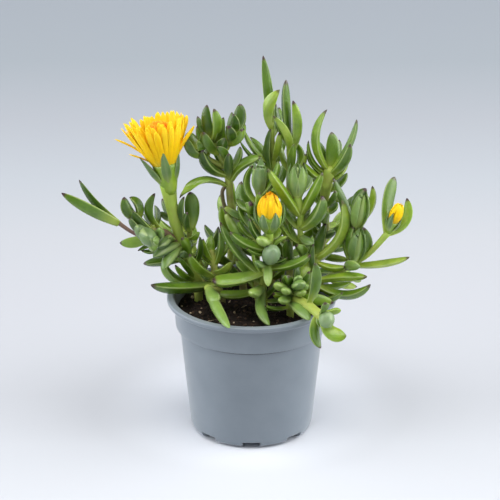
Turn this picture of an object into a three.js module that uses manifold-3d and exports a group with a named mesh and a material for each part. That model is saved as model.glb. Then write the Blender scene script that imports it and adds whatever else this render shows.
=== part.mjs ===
// A potted ice plant in flower, in a 10.5 cm nursery pot: millimetres, +Z up.
// The origin is on the axis of the pot, on the surface that it stands on, and the fullest side faces -Y.
import * as THREE from "three";
import { mergeVertices } from "three/addons/utils/BufferGeometryUtils.js";
import Module from "manifold-3d";

const kernel = await Module();
kernel.setup();

// ---------------------------------------------------------------- driving dimensions

const POT = {
  height: 88,
  rimRadius: 52.5,
  lipDrop: 3.1,
  mouthRadius: 47.8,
  collarRadius: 47.9,
  ledgeHeight: 68.4,
  ledgeRadius: 46.7,
  shoulderHeight: 62,
  shoulderRadius: 44,
  cornerHeight: 4.2,
  cornerRadius: 38.2,
  footRadius: 33.5,
  footWidth: 3,
  padRadius: 8,
  wall: 1.1,
  floorTop: 4,
  floorUnderside: 2.8,
};
const NOTCH = { count: 8, width: 9.5, height: 3.1 };
const SOIL = { top: 79, bump: 1.1, rootDepth: 62, stemClearance: 0.4 };
const CLEAR = 0.3; // between neighbouring solids
const TURN_SIDES = 24; // flats round the pot and the soil
const STEM_SIDES = 5;

const PLASTIC = { color: 0x7d8890, roughness: 0.48, metalness: 0 };
const PEAT = { color: 0x1e1812, roughness: 0.95, metalness: 0 };
const LEAF = { color: 0x4d7a33, roughness: 0.5, metalness: 0 };
const PETAL = { color: 0xf7c512, roughness: 0.55, metalness: 0 };
const STAMEN = { color: 0xf08c14, roughness: 0.6, metalness: 0 };

// ---------------------------------------------------------------- how each shoot grows
//
// A shoot is a list of stems. A stem has a path of points, its girth at each point, and its leaves.
// A leaf is [where on the stem it grows, from 0 to 1; its tip, x, y and z; its width; how far its middle
// bows clockwise, seen from the front; where along it is widest, 0.5 where it isn't given].
// A bud is [where on the stem it grows; its tip, x, y and z; its width; its number of sepals].

const BLOOM_SHOOT = [
  {
    path: [[-33, 12, 81], [-34, 12, 92], [-40, 10, 111], [-45, 8, 125], [-49, 5, 145], [-51, 3, 160]],
    girth: [6, 6.6, 6.8, 7.2, 8.2, 11.5],
    leaves: [
      [0.17, -55, 4, 111, 8, -5],
      [0.21, -47, -2, 109, 5, -1.5],
      [0.38, -67, 2, 108, 6, 1],
      [0.3, -32, 5, 125, 5, 1.5],
      [0.7, -56, 14, 138, 5, -1],
      [0.37, -28, 22, 114, 5, 1],
    ],
  },
  {
    path: [[-41, 10, 113], [-49, 6, 124], [-56, 1, 130], [-61, -5, 129], [-66, -8, 130]],
    girth: [5, 4.6, 4.4, 3.8, 3],
    leaves: [
      [0.46, -59, 4, 154, 5, -6],
      [0.66, -74, 0, 144, 7, -1.5],
      [0.96, -75, -2, 140, 5, -1],
      [0.77, -81, -3, 124, 6, -1.5],
      [0.39, -68, -3, 119, 4.5, -5],
      [0.76, -67, -23, 140, 7.5, -1.5, 0.6],
      [0.7, -63, -20, 142, 8, -1.5, 0.6],
      [0.77, -61, -25, 130, 7.5, 1.5, 0.6],
      [0.69, -55, -22, 140, 5.5, 1.5, 0.6],
      [0.78, -59, -30, 136, 5.5, 2, 0.6],
    ],
  },
  {
    path: [[-57, 0, 130], [-64, 2, 133], [-70, 3, 137]],
    girth: [2.8, 2.8, 3.2],
    leaves: [
      [1.0, -78, 0, 153, 7, -2.5],
      [1.0, -75, 7, 150, 7, 2.5],
    ],
  },
  {
    path: [[-66, -8, 130], [-73, -8, 133], [-81, -8, 139]],
    girth: [3, 2.4, 3],
    leaves: [
      [0.98, -115, -14, 161, 8, -0.5, 0.45],
      [1.0, -105, -2, 165, 5, -2.5, 0.4],
    ],
  },
  {
    path: [[-41, 10, 113], [-39, 8, 121], [-38, 7, 129]],
    girth: [3.6, 3.4, 3.2],
    leaves: [
      [0.96, -38, 9, 153, 8, 1.5, 0.6],
      [0.92, -41, 1, 153, 5.5, -3],
      [0.62, -33, 0, 130, 5, 1],
      [0.88, -39, -5, 145, 4.5, -1.5],
    ],
  },
];

const LOW_LEFT_SHOOT = [
  {
    path: [[-18, 10, 81], [-20, 9, 87], [-23, 8, 95], [-23, 9, 102], [-25, 12, 112]],
    girth: [4.6, 5, 5, 4.6, 4],
    leaves: [
      [0.41, -62, 2, 94, 7.5, -1, 0.55],
      [0.58, -38, -6, 118, 7, -2],
      [0.79, -20, 15, 125, 6, 1.5],
      [0.85, -30, 14, 120, 5.5, -1],
      [0.94, -25, 19, 120, 5, -1],
      [0.91, -15, 17, 114, 5, 1],
      [0.68, -13, -3, 111, 6, 1.5, 0.7],
      [0.79, -33, 21, 112, 5, -1],
      [0.91, -18, 25, 115, 5, 1],
      [0.48, -32, 18, 96, 5, -1],
    ],
  },
  {
    path: [[-20, 9, 87], [-24, 1, 91], [-27, -6, 95]],
    girth: [4.5, 4.4, 4.6],
    leaves: [
      [1.0, -13, -58, 91, 6, 1.5, 0.4],
      [0.98, -21, -26, 95, 7.5, 1.5, 0.6],
    ],
  },
];

const HEAD_SHOOT = [
  {
    path: [
      [-5, 24, 81], [-7, 23, 101], [-10, 20, 125], [-13, 16, 144], [-14, 13, 159], [-16, 11, 173],
      [-17, 10, 185],
    ],
    girth: [5.4, 5.4, 5, 5, 4.6, 4, 3.4],
    leaves: [
      [0.63, -44, 0, 152, 5.5, 8, 0.45],
      [0.67, -36, 9, 189, 8.5, -3.5],
      [0.78, -33, 15, 194, 5.5, -4.5],
      [0.81, -29, 1, 195, 7.5, -2.5],
      [0.87, -26, 13, 207, 5.5, -4.5],
      [0.92, -23, 2, 209, 6, 1.5, 0.6],
      [0.94, -33, 18, 198, 3.5, 2],
      [0.94, -17, 16, 199, 3.5, -1.5],
      [0.87, -14, -3, 200, 8, 2, 0.6],
      [0.92, -11, 8, 204, 5.5, 2, 0.55],
      [0.9, -7, 15, 208, 6, 2, 0.55],
      [0.89, -5, 23, 201, 5, 2.5],
      [0.83, -6, 1, 197, 7, 2],
      [0.85, -4, 27, 191, 3.5, 2],
      [0.67, -14, 1, 181, 5.5, 0],
      [0.66, 6, 11, 175, 7.5, -4, 0.55],
      [0.72, -7, 16, 180, 6, 1.5],
      [0.76, -22, 24, 181, 5.5, -1.5],
      [0.67, -12, 35, 159, 6, 1.5],
      [0.75, -16, 34, 178, 5.5, -2],
    ],
  },
  {
    path: [[-14, 13, 157], [-18, 14, 151], [-16, 17, 138], [-11, 20, 125]],
    girth: [2.6, 2.6, 2.6, 2.6],
    leaves: [
    ],
  },
];

const CLOSED_BUD_SHOOT = [
  {
    path: [[4, 12, 81], [3, 10, 106], [3, 6, 129], [4, 3, 147], [5, 2, 154]],
    girth: [4.6, 4.6, 4.6, 4.6, 5],
    leaves: [
      [0.74, 1, 7, 171, 5.5, -5],
      [0.67, -13, 10, 148, 7, -1.5],
      [0.62, 0, -10, 153, 7, -1.5, 0.7],
      [0.73, 10, 7, 168, 5, 1.5],
      [0.48, -12, 8, 145, 6, -1.5],
      [0.42, -8, 5, 136, 5, -1.5],
      [0.53, 12, 20, 138, 5.5, 1.5],
      [0.45, -3, 25, 128, 5.5, -1.5],
    ],
    buds: [[1.0, 6, 1, 178, 10.5, 4]],
  },
];

const TALLEST_SHOOT = [
  {
    path: [[13, 26, 81], [13, 26, 99], [14, 24, 128], [14, 20, 157], [12, 15, 195]],
    girth: [5, 5, 4.8, 4.2, 3.4],
    leaves: [
      [0.99, 7, 17, 238, 5.5, 0.5, 0.4],
      [0.98, 17, 9, 219, 8, -7.5, 0.45],
      [0.74, 12, 14, 193, 5.5, -2.5],
      [0.81, -5, 17, 192, 4.5, -2.5, 0.4],
      [0.79, -7, 15, 184, 3.5, -2, 0.4],
      [0.79, 9, 17, 183, 4.5, -1.5, 0.4],
      [0.69, 20, 31, 164, 5.5, 1.5],
      [0.64, 7, 36, 153, 5.5, -1.5],
      [0.54, 24, 39, 139, 5.5, 1.5],
      [0.53, 4, 44, 134, 5.5, -1.5],
    ],
  },
];

const TALL_SHOOT = [
  {
    path: [[24, 18, 81], [24, 19, 102], [23, 18, 131], [24, 17, 158], [24, 16, 178]],
    girth: [5, 5, 5, 5.2, 5],
    leaves: [
      [0.98, 21, 18, 223, 5, -2],
      [0.98, 25, 12, 211, 7.5, 2.5],
      [0.96, 13, 4, 204, 5.5, 3],
      [1.0, 15, 24, 205, 4.5, -2],
      [0.8, 18, 23, 179, 5, -1.5],
      [0.77, 27, 21, 181, 6, 4.5],
      [0.76, 33, 17, 175, 4.5, 1.5],
      [0.65, 34, 33, 152, 6, 1.5],
      [0.61, 17, 34, 148, 5.5, -1.5],
      [0.75, 30, 35, 164, 5.5, 1.5],
    ],
  },
];

const BIG_BUD_SHOOT = [
  {
    path: [[32, 4, 81], [32, 2, 109], [30, 0, 130], [30, -1, 143], [28, -2, 154]],
    girth: [4.4, 4, 3.8, 4.6, 6],
    leaves: [
      [0.71, 10, -7, 174, 6.5, 0.5, 0.45],
      [0.73, 43, -5, 171, 5.5, -0.5, 0.45],
      [0.54, 43, -6, 156, 8.5, 2.5, 0.55],
      [0.53, 20, 8, 148, 7, -1.5],
      [0.46, 38, -12, 127, 5.5, 1],
      [0.38, 23, 7, 134, 3.5, -1, 0.4],
      [0.38, 18, 5, 135, 3.5, -1.5, 0.4],
      [0.61, 33, 13, 148, 6, 1.5],
    ],
    buds: [[1.0, 28, -2, 175, 13.5, 5]],
  },
];

const UPPER_RIGHT_SHOOT = [
  {
    path: [[33, 18, 81], [39, 18, 101], [46, 16, 124], [45, 15, 142], [46, 13, 155], [48, 12, 166]],
    girth: [4.6, 4.4, 4.4, 5.2, 7.4, 7],
    leaves: [
      [0.97, 46, 10, 206, 5, -10.5, 0.45],
      [0.97, 64, 12, 199, 5.5, 2.5],
      [0.97, 49, 20, 188, 7.5, 1.5],
      [1.0, 54, 26, 181, 4.5, 1.5],
      [0.93, 60, 4, 186, 7.5, 2],
      [0.83, 59, 15, 172, 5.5, 1.5],
      [0.73, 59, 18, 162, 6, 1.5],
      [0.93, 35, 16, 184, 3.5, -3.5],
      [0.9, 34, 20, 176, 5, -1.5],
      [0.81, 39, 19, 166, 4.5, -1],
      [0.65, 55, 9, 140, 3.5, -5, 0.4],
      [0.53, 53, 21, 142, 6, 1],
      [0.59, 38, 29, 147, 5.5, -1],
      [0.43, 53, 36, 123, 5.5, 1.5],
      [0.38, 39, 12, 130, 5.5, -1],
    ],
  },
];

const RIGHT_SHOOT = [
  {
    path: [[37, 8, 81], [43, 8, 93], [54, 4, 102], [63, 0, 110], [63, 0, 123], [65, 0, 137]],
    girth: [4.2, 4, 4, 4, 4, 4.6],
    leaves: [
      [0.99, 70, -4, 160, 10, -3],
      [0.97, 74, 6, 158, 6, 3.5],
      [0.62, 63, -5, 136, 7, -2],
      [0.62, 68, -5, 135, 7.5, 4.5],
      [0.57, 58, 4, 132, 5, -1.5, 0.4],
      [0.72, 50, 2, 165, 6, 2, 0.45],
      [0.55, 97, -9, 117, 6, 4],
      [0.96, 68, 16, 141, 5.5, 1],
      [0.77, 71, 18, 120, 6, 1.5],
      [0.47, 69, 18, 90, 5.5, 1.5],
    ],
  },
  {
    path: [[63, 0, 109], [72, -4, 117], [83, -10, 133]],
    girth: [3.6, 3.6, 4.4],
    leaves: [
      [0.98, 85, -4, 167, 7.5, -2, 0.7],
      [0.96, 95, -4, 154, 6, 6],
    ],
  },
];

const LOW_RIGHT_SHOOT = [
  {
    path: [[37, -2, 81], [39, -2, 93], [40, -2, 104], [40, -1, 114]],
    girth: [4.6, 4.6, 4.6, 4.2],
    leaves: [
      [0.97, 55, -5, 153, 8.5, 7],
      [0.89, 58, -7, 110, 6, 1.5],
      [0.51, 71, -14, 106, 7.5, -2, 0.6],
      [0.43, 73, -16, 102, 7.5, 6.5, 0.55],
      [0.39, 62, 2, 96, 5, 1.5],
      [0.89, 35, 3, 126, 5, -1],
      [0.62, 38, -12, 127, 4.5, -2, 0.4],
      [0.97, 49, 13, 113, 5.5, 1],
      [0.39, 52, 2, 92, 5.5, 1],
    ],
  },
];

const FRONT_BUD_SHOOT = [
  {
    path: [[8, -2, 81], [7, -6, 95], [8, -10, 107], [11, -12, 119], [11, -13, 129], [11, -14, 136]],
    girth: [5.2, 5, 5, 4.8, 4.4, 4.6],
    leaves: [
      [0.78, 6, -25, 135, 7, -1, 0.7],
      [0.53, 10, -27, 105, 5, 0],
      [0.46, 36, -17, 122, 7.5, 2, 0.6],
      [0.52, 22, -17, 120, 3, 1],
      [0.69, -13, -17, 137, 8.5, -2],
      [0.62, -3, -18, 127, 4.5, -1],
      [0.36, -19, -13, 142, 7, -3, 0.45],
      [0.25, -24, -17, 105, 8.5, -2.5, 0.75],
      [0.19, -21, -4, 91, 7, -2, 0.7],
      [0.22, 1, -26, 100, 7, -1.5, 0.7],
      [0.2, 11, -36, 83, 6, 3.5],
      [0.5, 3, -25, 120, 5, -1, 0.6],
      [0.82, 17, -3, 134, 5, 1],
      [0.57, 6, 0, 121, 5.5, -1],
    ],
    buds: [[0.55, 15, -26, 126, 11.5, 4]],
  },
];

const RIM_SHOOT = [
  {
    path: [[24, -12, 81], [24, -15, 90], [28, -23, 94], [34, -33, 95], [40, -45, 95], [43, -49, 93]],
    girth: [5, 6, 6.4, 6.8, 6, 5],
    leaves: [
      [0.8, 42, -52, 75, 6, 3],
      [0.94, 57, -56, 85, 6, 7.5, 0.6],
      [0.88, 54, -45, 97, 5, 0, 0.7],
      [0.88, 44, -55, 106, 5, 1, 0.7],
      [0.62, 38, -40, 126, 6, 2.5, 0.45],
      [0.2, 35, -46, 91, 7.5, -1.5],
      [0.81, 43, -50, 88, 5, 0.5],
    ],
    buds: [[0.97, 48, -55, 93, 9.5, 4]],
  },
  {
    path: [[24, -15, 90], [25, -15, 96], [25, -14, 100]],
    girth: [4.4, 4, 3.6],
    leaves: [
      [0.81, 15, -28, 107, 6, -1.5, 0.7],
      [0.58, 21, -35, 106, 5.5, -1.5, 0.7],
      [0.4, 18, -31, 97, 6, -1, 0.7],
      [0.98, 29, -32, 109, 7.5, 1.5, 0.7],
      [0.52, 13, -21, 98, 5, -1, 0.7],
      [1.0, 23, -24, 111, 5.5, -1, 0.7],
      [0.98, 28, -28, 112, 5, 1.5, 0.7],
      [0.9, 35, -22, 113, 5.5, 1.5, 0.6],
      [0.9, 20, -18, 109, 5, -1, 0.6],
      [0.98, 34, -26, 105, 5.5, 1, 0.7],
      [0.9, 27, -12, 115, 5.5, 1],
      [0.67, 31, -31, 103, 5.5, 1.5, 0.7],
    ],
  },
];
// Shoots at the back of the clump: opposite pairs of leaves, each pair a quarter turn from the last.
const BACK_SHOOTS = [
  { name: "back_left_shoot", foot: [-28, 25], head: [-48, 42, 124], pairs: 5, spin: 80 },
  { name: "back_middle_shoot", foot: [-14, 35], head: [-20, 56, 140], pairs: 5, spin: 40 },
  { name: "back_centre_shoot", foot: [3, 38], head: [6, 56, 148], pairs: 6, spin: 70 },
  { name: "back_right_shoot", foot: [18, 34], head: [32, 58, 138], pairs: 5, spin: 50 },
  { name: "back_outer_shoot", foot: [28, 26], head: [62, 38, 126], pairs: 5, spin: 10 },
];

// ---------------------------------------------------------------- skins and solids

const vector = ([x, y, z]) => new THREE.Vector3(x, y, z);

const WELD = 1e-3; // corners that are nearer than this are one

// Welds a geometry's shared corners, drops the faces that collapse with them, and makes it a solid.
function solidFrom(geometry) {
  const bare = new THREE.BufferGeometry();
  bare.setAttribute("position", geometry.getAttribute("position"));
  bare.setIndex(geometry.index);
  const merged = mergeVertices(bare, WELD);
  const index = merged.index.array;
  const faces = [];
  for (let i = 0; i < index.length; i += 3) {
    const [a, b, c] = index.slice(i, i + 3);
    if (a !== b && b !== c && c !== a) faces.push(a, b, c);
  }
  const skin = new kernel.Mesh({
    numProp: 3,
    vertProperties: merged.attributes.position.array,
    triVerts: new Uint32Array(faces),
  });
  return new kernel.Manifold(skin);
}

// A closed skin over rings of equal count, flat at the first ring and drawn to a point past the last.
// Each ring runs anticlockwise, seen from the point.
function skinOver(rings, point) {
  const sides = rings[0].length;
  const corners = [...rings.flat(), point];
  const last = (rings.length - 1) * sides;
  const faces = [];
  for (let i = 1; i < sides - 1; i++) faces.push(0, i + 1, i);
  for (let i = 0; i < sides; i++) {
    const next = (i + 1) % sides;
    for (let at = 0; at < last; at += sides) {
      faces.push(at + i, at + next, at + sides + next);
      faces.push(at + i, at + sides + next, at + sides + i);
    }
    faces.push(last + i, last + next, corners.length - 1);
  }
  const geometry = new THREE.BufferGeometry().setFromPoints(corners);
  geometry.setIndex(faces);
  return geometry;
}

// The skin of a solid as a three.js geometry.
function geometryOf(solid) {
  const { numProp, numVert, vertProperties, triVerts } = solid.getMesh();
  const corners = new Float32Array(numVert * 3);
  for (let i = 0; i < numVert; i++) {
    corners.set(vertProperties.subarray(i * numProp, i * numProp + 3), i * 3);
  }
  const geometry = new THREE.BufferGeometry();
  geometry.setAttribute("position", new THREE.BufferAttribute(corners, 3));
  geometry.setIndex(new THREE.BufferAttribute(triVerts, 1));
  return geometry;
}

const largestBody = (solid) =>
  solid.decompose().reduce((largest, body) => (body.volume() > largest.volume() ? body : largest));

const SHORTEST = 0.01; // an edge under this is drawn together
const THINNEST = 0.002; // a face lower than this gives its long edge to its neighbour

// The height of a face over its longest edge.
function faceHeight([a, b, c]) {
  const doubled = b.clone().sub(a).cross(c.clone().sub(a)).length();
  return doubled / Math.max(a.distanceTo(b), b.distanceTo(c), c.distanceTo(a));
}

// The faces of a closed skin without its worst sliver, or null where none can be mended. A short edge is
// drawn together; the long edge of a needle is turned, which leaves the surface where it was.
function mendedFaces(faces, corners) {
  const height = (face) => faceHeight(face.map((c) => corners[c]));
  const across = new Map(faces.flatMap((face) => face.map((a, k) => [`${a} ${face[(k + 1) % 3]}`, face])));
  const around = (a) => new Set(faces.filter((face) => face.includes(a)).flat());
  for (const face of faces) {
    const lengths = face.map((a, k) => corners[a].distanceTo(corners[face[(k + 1) % 3]]));
    const shortest = lengths.indexOf(Math.min(...lengths));
    if (lengths[shortest] < SHORTEST) {
      const [a, b] = [face[shortest], face[(shortest + 1) % 3]];
      const beside = around(b);
      if ([...around(a)].filter((c) => beside.has(c)).length !== 4) continue;
      const drawn = faces.map((other) => other.map((c) => (c === b ? a : c)));
      return drawn.filter(([p, q, r]) => p !== q && q !== r && r !== p);
    }
    if (height(face) < THINNEST) {
      const longest = lengths.indexOf(Math.max(...lengths));
      const [p, q, r] = [0, 1, 2].map((k) => face[(longest + k) % 3]);
      const neighbour = across.get(`${q} ${p}`);
      const s = neighbour.find((c) => c !== p && c !== q);
      if (across.has(`${r} ${s}`) || across.has(`${s} ${r}`)) continue;
      const halves = [[p, s, r], [s, q, r]];
      if (Math.min(...halves.map(height)) <= Math.min(height(face), height(neighbour))) continue;
      return [...faces.filter((other) => other !== face && other !== neighbour), ...halves];
    }
  }
  return null;
}

function combed(geometry) {
  const position = geometry.getAttribute("position");
  const corners = Array.from({ length: position.count }, (_, i) =>
    new THREE.Vector3().fromBufferAttribute(position, i),
  );
  const index = geometry.index.array;
  let faces = Array.from({ length: index.length / 3 }, (_, i) => [...index.slice(3 * i, 3 * i + 3)]);
  for (let next = faces; next; next = mendedFaces(faces, corners)) faces = next;
  const tidy = new THREE.BufferGeometry().setFromPoints(corners);
  tidy.setIndex(faces.flat());
  return tidy;
}

// Joins solids into one and fills any hollow that they close off between them. Skins that only touch
// part or join when they are welded, so the weld is repeated until it changes nothing.
function fused(solids) {
  const joined = largestBody(solids.reduce((sum, solid) => sum.add(solid)));
  const welded = largestBody(solidFrom(combed(geometryOf(joined))));
  return welded.numVert() === joined.numVert() ? welded : fused([welded]);
}

// A named mesh of a solid, with its own material.
function meshOf(name, solid, finish) {
  const geometry = geometryOf(solid);
  geometry.computeVertexNormals();
  const mesh = new THREE.Mesh(geometry, new THREE.MeshStandardMaterial(finish));
  mesh.name = name;
  return mesh;
}

// ---------------------------------------------------------------- pot and soil

// A profile of [radius, height] pairs, turned about Z.
function turned(profile) {
  const outline = profile.map(([radius, height]) => new THREE.Vector2(radius, height));
  const geometry = new THREE.LatheGeometry(outline, TURN_SIDES);
  geometry.rotateX(Math.PI / 2);
  return geometry;
}

function potSolid() {
  const p = POT;
  const footInner = p.footRadius - p.footWidth;
  const lipUnderside = p.height - p.lipDrop;
  const edge = 0.7;
  const outside = [
    [0, 0],
    [p.padRadius, 0],
    [p.padRadius + 1, p.floorUnderside],
    [footInner - 1, p.floorUnderside],
    [footInner, 0],
    [p.footRadius, 0],
    [p.footRadius + 3, 1.2],
    [p.cornerRadius, p.cornerHeight],
    [p.shoulderRadius, p.shoulderHeight],
    [p.ledgeRadius - 0.6, p.ledgeHeight - 0.2],
    [p.ledgeRadius, p.ledgeHeight],
    [p.collarRadius - 0.2, p.ledgeHeight + 3],
    [p.collarRadius + 0.2, lipUnderside],
    [p.rimRadius - edge, lipUnderside],
    [p.rimRadius, lipUnderside + edge],
    [p.rimRadius, p.height - edge],
    [p.rimRadius - edge, p.height],
  ];
  const inside = [
    [p.mouthRadius + 0.8, p.height],
    [p.mouthRadius, p.height - 0.9],
    ...soilOutline(0),
    [0, p.floorTop],
  ];
  let pot = solidFrom(turned([...outside, ...inside]));
  for (let i = 0; i < NOTCH.count; i++) {
    const turn = -Math.PI / 2 + (i * 2 * Math.PI) / NOTCH.count;
    pot = pot.subtract(notch(p.footRadius - 4, p.cornerRadius + 3, NOTCH.height, turn));
    pot = pot.subtract(notch(footInner, p.cornerRadius - 2.4, p.floorTop + 1, turn));
  }
  return pot;
}

// A block from one radius to another and up to a height, turned round the axis: it cuts a foot notch.
function notch(inner, outer, height, turn) {
  const below = 1;
  const block = new THREE.BoxGeometry(outer - inner, NOTCH.width, height + below);
  block.translate((inner + outer) / 2, 0, (height - below) / 2);
  block.rotateZ(turn);
  return solidFrom(block);
}

// The inside of the pot from just above the soil down to the floor, drawn in by a clearance.
function soilOutline(gap) {
  const p = POT;
  return [
    [p.collarRadius - p.wall - 0.3 - gap, p.ledgeHeight + 3],
    [p.ledgeRadius - p.wall - 0.5 - gap, p.ledgeHeight - 0.4],
    [p.shoulderRadius - p.wall - gap, p.shoulderHeight - 0.4],
    [p.cornerRadius - p.wall - gap, p.cornerHeight + 1.4],
    [p.cornerRadius - p.wall - 1.4 - gap, p.floorTop + gap],
  ];
}

// Height of the crumbled soil surface over its mean level.
function crumb(x, y) {
  const broad = Math.sin(0.21 * x + 1.3) * Math.cos(0.17 * y - 0.6);
  const fine = Math.sin(0.53 * x - 0.41 * y) * Math.cos(0.37 * x + 0.61 * y + 2);
  return SOIL.bump * (0.7 * broad + 0.5 * fine);
}

function soilSolid(stemFeet) {
  const brim = POT.collarRadius - POT.wall - 0.25 - CLEAR;
  const surface = [0.3, 0.65].map((share) => [share * brim, SOIL.top]);
  const profile = [[0, SOIL.top], ...surface, [brim - 1, SOIL.top], [brim, SOIL.top - 1]];
  const outline = [...profile, ...soilOutline(CLEAR), [0, POT.floorTop + CLEAR]];
  const geometry = turned(outline.reverse());
  const corners = geometry.getAttribute("position");
  for (let i = 0; i < corners.count; i++) {
    if (corners.getZ(i) < SOIL.top - 0.01) continue;
    const lift = crumb(corners.getX(i), corners.getY(i));
    corners.setZ(i, SOIL.top + lift);
  }
  return stemFeet.reduce((soil, foot) => soil.subtract(foot), solidFrom(geometry));
}

// ---------------------------------------------------------------- stems and leaves

// Stations along a leaf, and its three-angled section: a face that looks at the stem, between two
// edges, and a keel on the back. Sections are in half widths: [across the leaf, towards the face].
const LEAF_STATIONS = [0, 0.42, 0.82];
const LONG_LEAF_STATIONS = [0, 0.3, 0.62, 0.88];
const LONG_LEAF = 31;
const LEAF_SECTION = [
  [-1, 0.35],
  [1, 0.35],
  [0, -1],
];

// Half width of a leaf along it, as a share of its greatest: it swells to the belly and closes to a tip.
function swell(t, belly) {
  if (t < belly) return 0.4 + 0.6 * Math.sin((Math.PI / 2) * (t / belly));
  const past = (t - belly) / (1 - belly);
  return (1 - past ** 2.4) ** 0.75;
}

// A leaf's centre line and its face: the face looks at the stem above the leaf's root.
function leafShape({ root, control, tip, width, belly, heart }, stations, section) {
  const curve = new THREE.QuadraticBezierCurve3(root, control, tip);
  const inward = heart.clone().sub(curve.getPoint(0.5));
  const rings = stations.map((t) => {
    const centre = curve.getPoint(t);
    const ahead = curve.getTangent(t);
    const face = inward.clone().addScaledVector(ahead, -inward.dot(ahead)).normalize();
    const side = ahead.clone().cross(face);
    const half = (width / 2) * swell(t, belly);
    return section.map(([across, proud]) =>
      centre.clone().addScaledVector(side, across * half).addScaledVector(face, proud * half),
    );
  });
  return skinOver(rings, tip);
}

function leafSolid(leaf) {
  const long = leaf.root.distanceTo(leaf.tip) > LONG_LEAF;
  return solidFrom(leafShape(leaf, long ? LONG_LEAF_STATIONS : LEAF_STATIONS, LEAF_SECTION));
}

// The girth of a stem at a share of its length, from the girths at its evenly counted points.
function girthAt(girths, share) {
  const place = share * (girths.length - 1);
  const span = Math.min(Math.floor(place), girths.length - 2);
  return THREE.MathUtils.lerp(girths[span], girths[span + 1], place - span);
}

// A smooth stem through its points, with the girth given at each of them.
function stemSolid(curve, girths) {
  const steps = Math.max(girths.length - 1, 1);
  const { normals, binormals } = curve.computeFrenetFrames(steps, false);
  const rings = normals.map((normal, k) => {
    const t = k / steps;
    const radius = girthAt(girths, t) / 2;
    const centre = curve.getPoint(t);
    return Array.from({ length: STEM_SIDES }, (_, i) => {
      const angle = (i * 2 * Math.PI) / STEM_SIDES;
      return centre
        .clone()
        .addScaledVector(normal, radius * Math.cos(angle))
        .addScaledVector(binormals[k], radius * Math.sin(angle));
    });
  });
  const end = curve.getPoint(1).addScaledVector(curve.getTangent(1), girths.at(-1) * 0.35);
  return solidFrom(skinOver(rings, end));
}

// ---------------------------------------------------------------- growing the shoots

const curveThrough = (points) => new THREE.CatmullRomCurve3(points, false, "catmullrom", 0.5);

const ROOT_OFFSET = 0.25; // of a leaf, from the axis of its stem, as a share of the stem's girth

// Lays out one stem: its curve, and each leaf as root, control point and tip.
function grown(shoot, { path, girth, leaves, buds = [] }) {
  const curve = curveThrough(path.map(vector));
  const spring = leaves.map(([at, x, y, z, width, bow, belly = 0.5]) => {
    const axis = curve.getPoint(at);
    const tip = new THREE.Vector3(x, y, z);
    const offset = ROOT_OFFSET * girthAt(girth, at);
    const root = axis.clone().add(tip.clone().sub(axis).setLength(offset));
    const chord = tip.clone().sub(root);
    const clockwise = new THREE.Vector3(chord.z, 0, -chord.x).normalize();
    const control = root.clone().lerp(tip, 0.5).addScaledVector(clockwise, 2 * bow);
    const heart = root.clone().addScaledVector(curve.getTangent(at), chord.length() * 0.6);
    return { shoot, root, control, tip, width, belly, heart };
  });
  const closed = buds.map(([at, x, y, z, width, sepals]) => {
    return { root: curve.getPoint(at), tip: new THREE.Vector3(x, y, z), width, sepals };
  });
  return { shoot, curve, girth, leaves: spring, buds: closed };
}

// The stem of a shoot at the back, with its pairs of leaves worked out: each pair is a quarter turn
// from the last, shorter and steeper towards the head.
const BACK_LEAF = {
  longest: 27,
  shortest: 16,
  widest: 7.5,
  narrowest: 6,
  lowest: 0.26, // share of the stem where the first pair grows, and the last
  highest: 0.97,
  lift: [24, 70], // degrees from square to the stem, of the first pair and the last
};

function backStem({ name, foot, head, pairs, spin }) {
  const low = vector([...foot, SOIL.top + 3]);
  const high = vector(head);
  const middle = low.clone().lerp(high, 0.35);
  middle.z = (low.z + high.z) / 2;
  const curve = curveThrough([low, middle, high]);
  const { longest, shortest, widest, narrowest, lowest, highest, lift: lifts } = BACK_LEAF;
  const leaves = [];
  for (let pair = 0; pair < pairs; pair++) {
    const share = pair / (pairs - 1);
    const at = lowest + (highest - lowest) * share;
    const root = curve.getPoint(at);
    const axis = curve.getTangent(at);
    const length = longest + (shortest - longest) * share;
    const width = widest + (narrowest - widest) * share;
    const lift = THREE.MathUtils.degToRad(THREE.MathUtils.lerp(...lifts, share));
    for (const turn of [0, 180]) {
      const heading = THREE.MathUtils.degToRad(spin + 90 * pair + turn);
      const level = new THREE.Vector3(Math.cos(heading), Math.sin(heading), 0);
      const out = level.addScaledVector(axis, -level.dot(axis)).normalize();
      const control = root.clone().addScaledVector(out, length * 0.5 * Math.cos(lift * 0.6));
      control.addScaledVector(axis, length * 0.12);
      const tip = root.clone().addScaledVector(out, length * Math.cos(lift));
      tip.addScaledVector(axis, length * Math.sin(lift));
      const heart = root.clone().addScaledVector(axis, length * 0.6);
      leaves.push({ shoot: name, root, control, tip, width, belly: 0.55, heart });
    }
  }
  return { shoot: name, curve, girth: [4.6, 4.4, 3.6], leaves, buds: [] };
}

// Neighbouring shoots' leaves are bent clear of each other, to the front or to the back. Each leaf is a
// string of balls that follow its tip in proportion to how far along they are; stems and buds are balls
// that stay. A leaf takes half of what it lacks from another leaf, and all that it lacks from a stem.
const EASING = { rounds: 60, gap: 0.8, rate: 0.4, back: [0, 0.927, -0.375] };
const LEAF_BEADS = [0.2, 0.34, 0.48, 0.62, 0.76, 0.9, 1];
const STEM_BEADS = 16;
const BUD_BEADS = [0.25, 0.5, 0.75];

const bead = (shoot, centre, radius) => ({ shoot, x: centre.x, y: centre.y, z: centre.z, radius });

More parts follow.
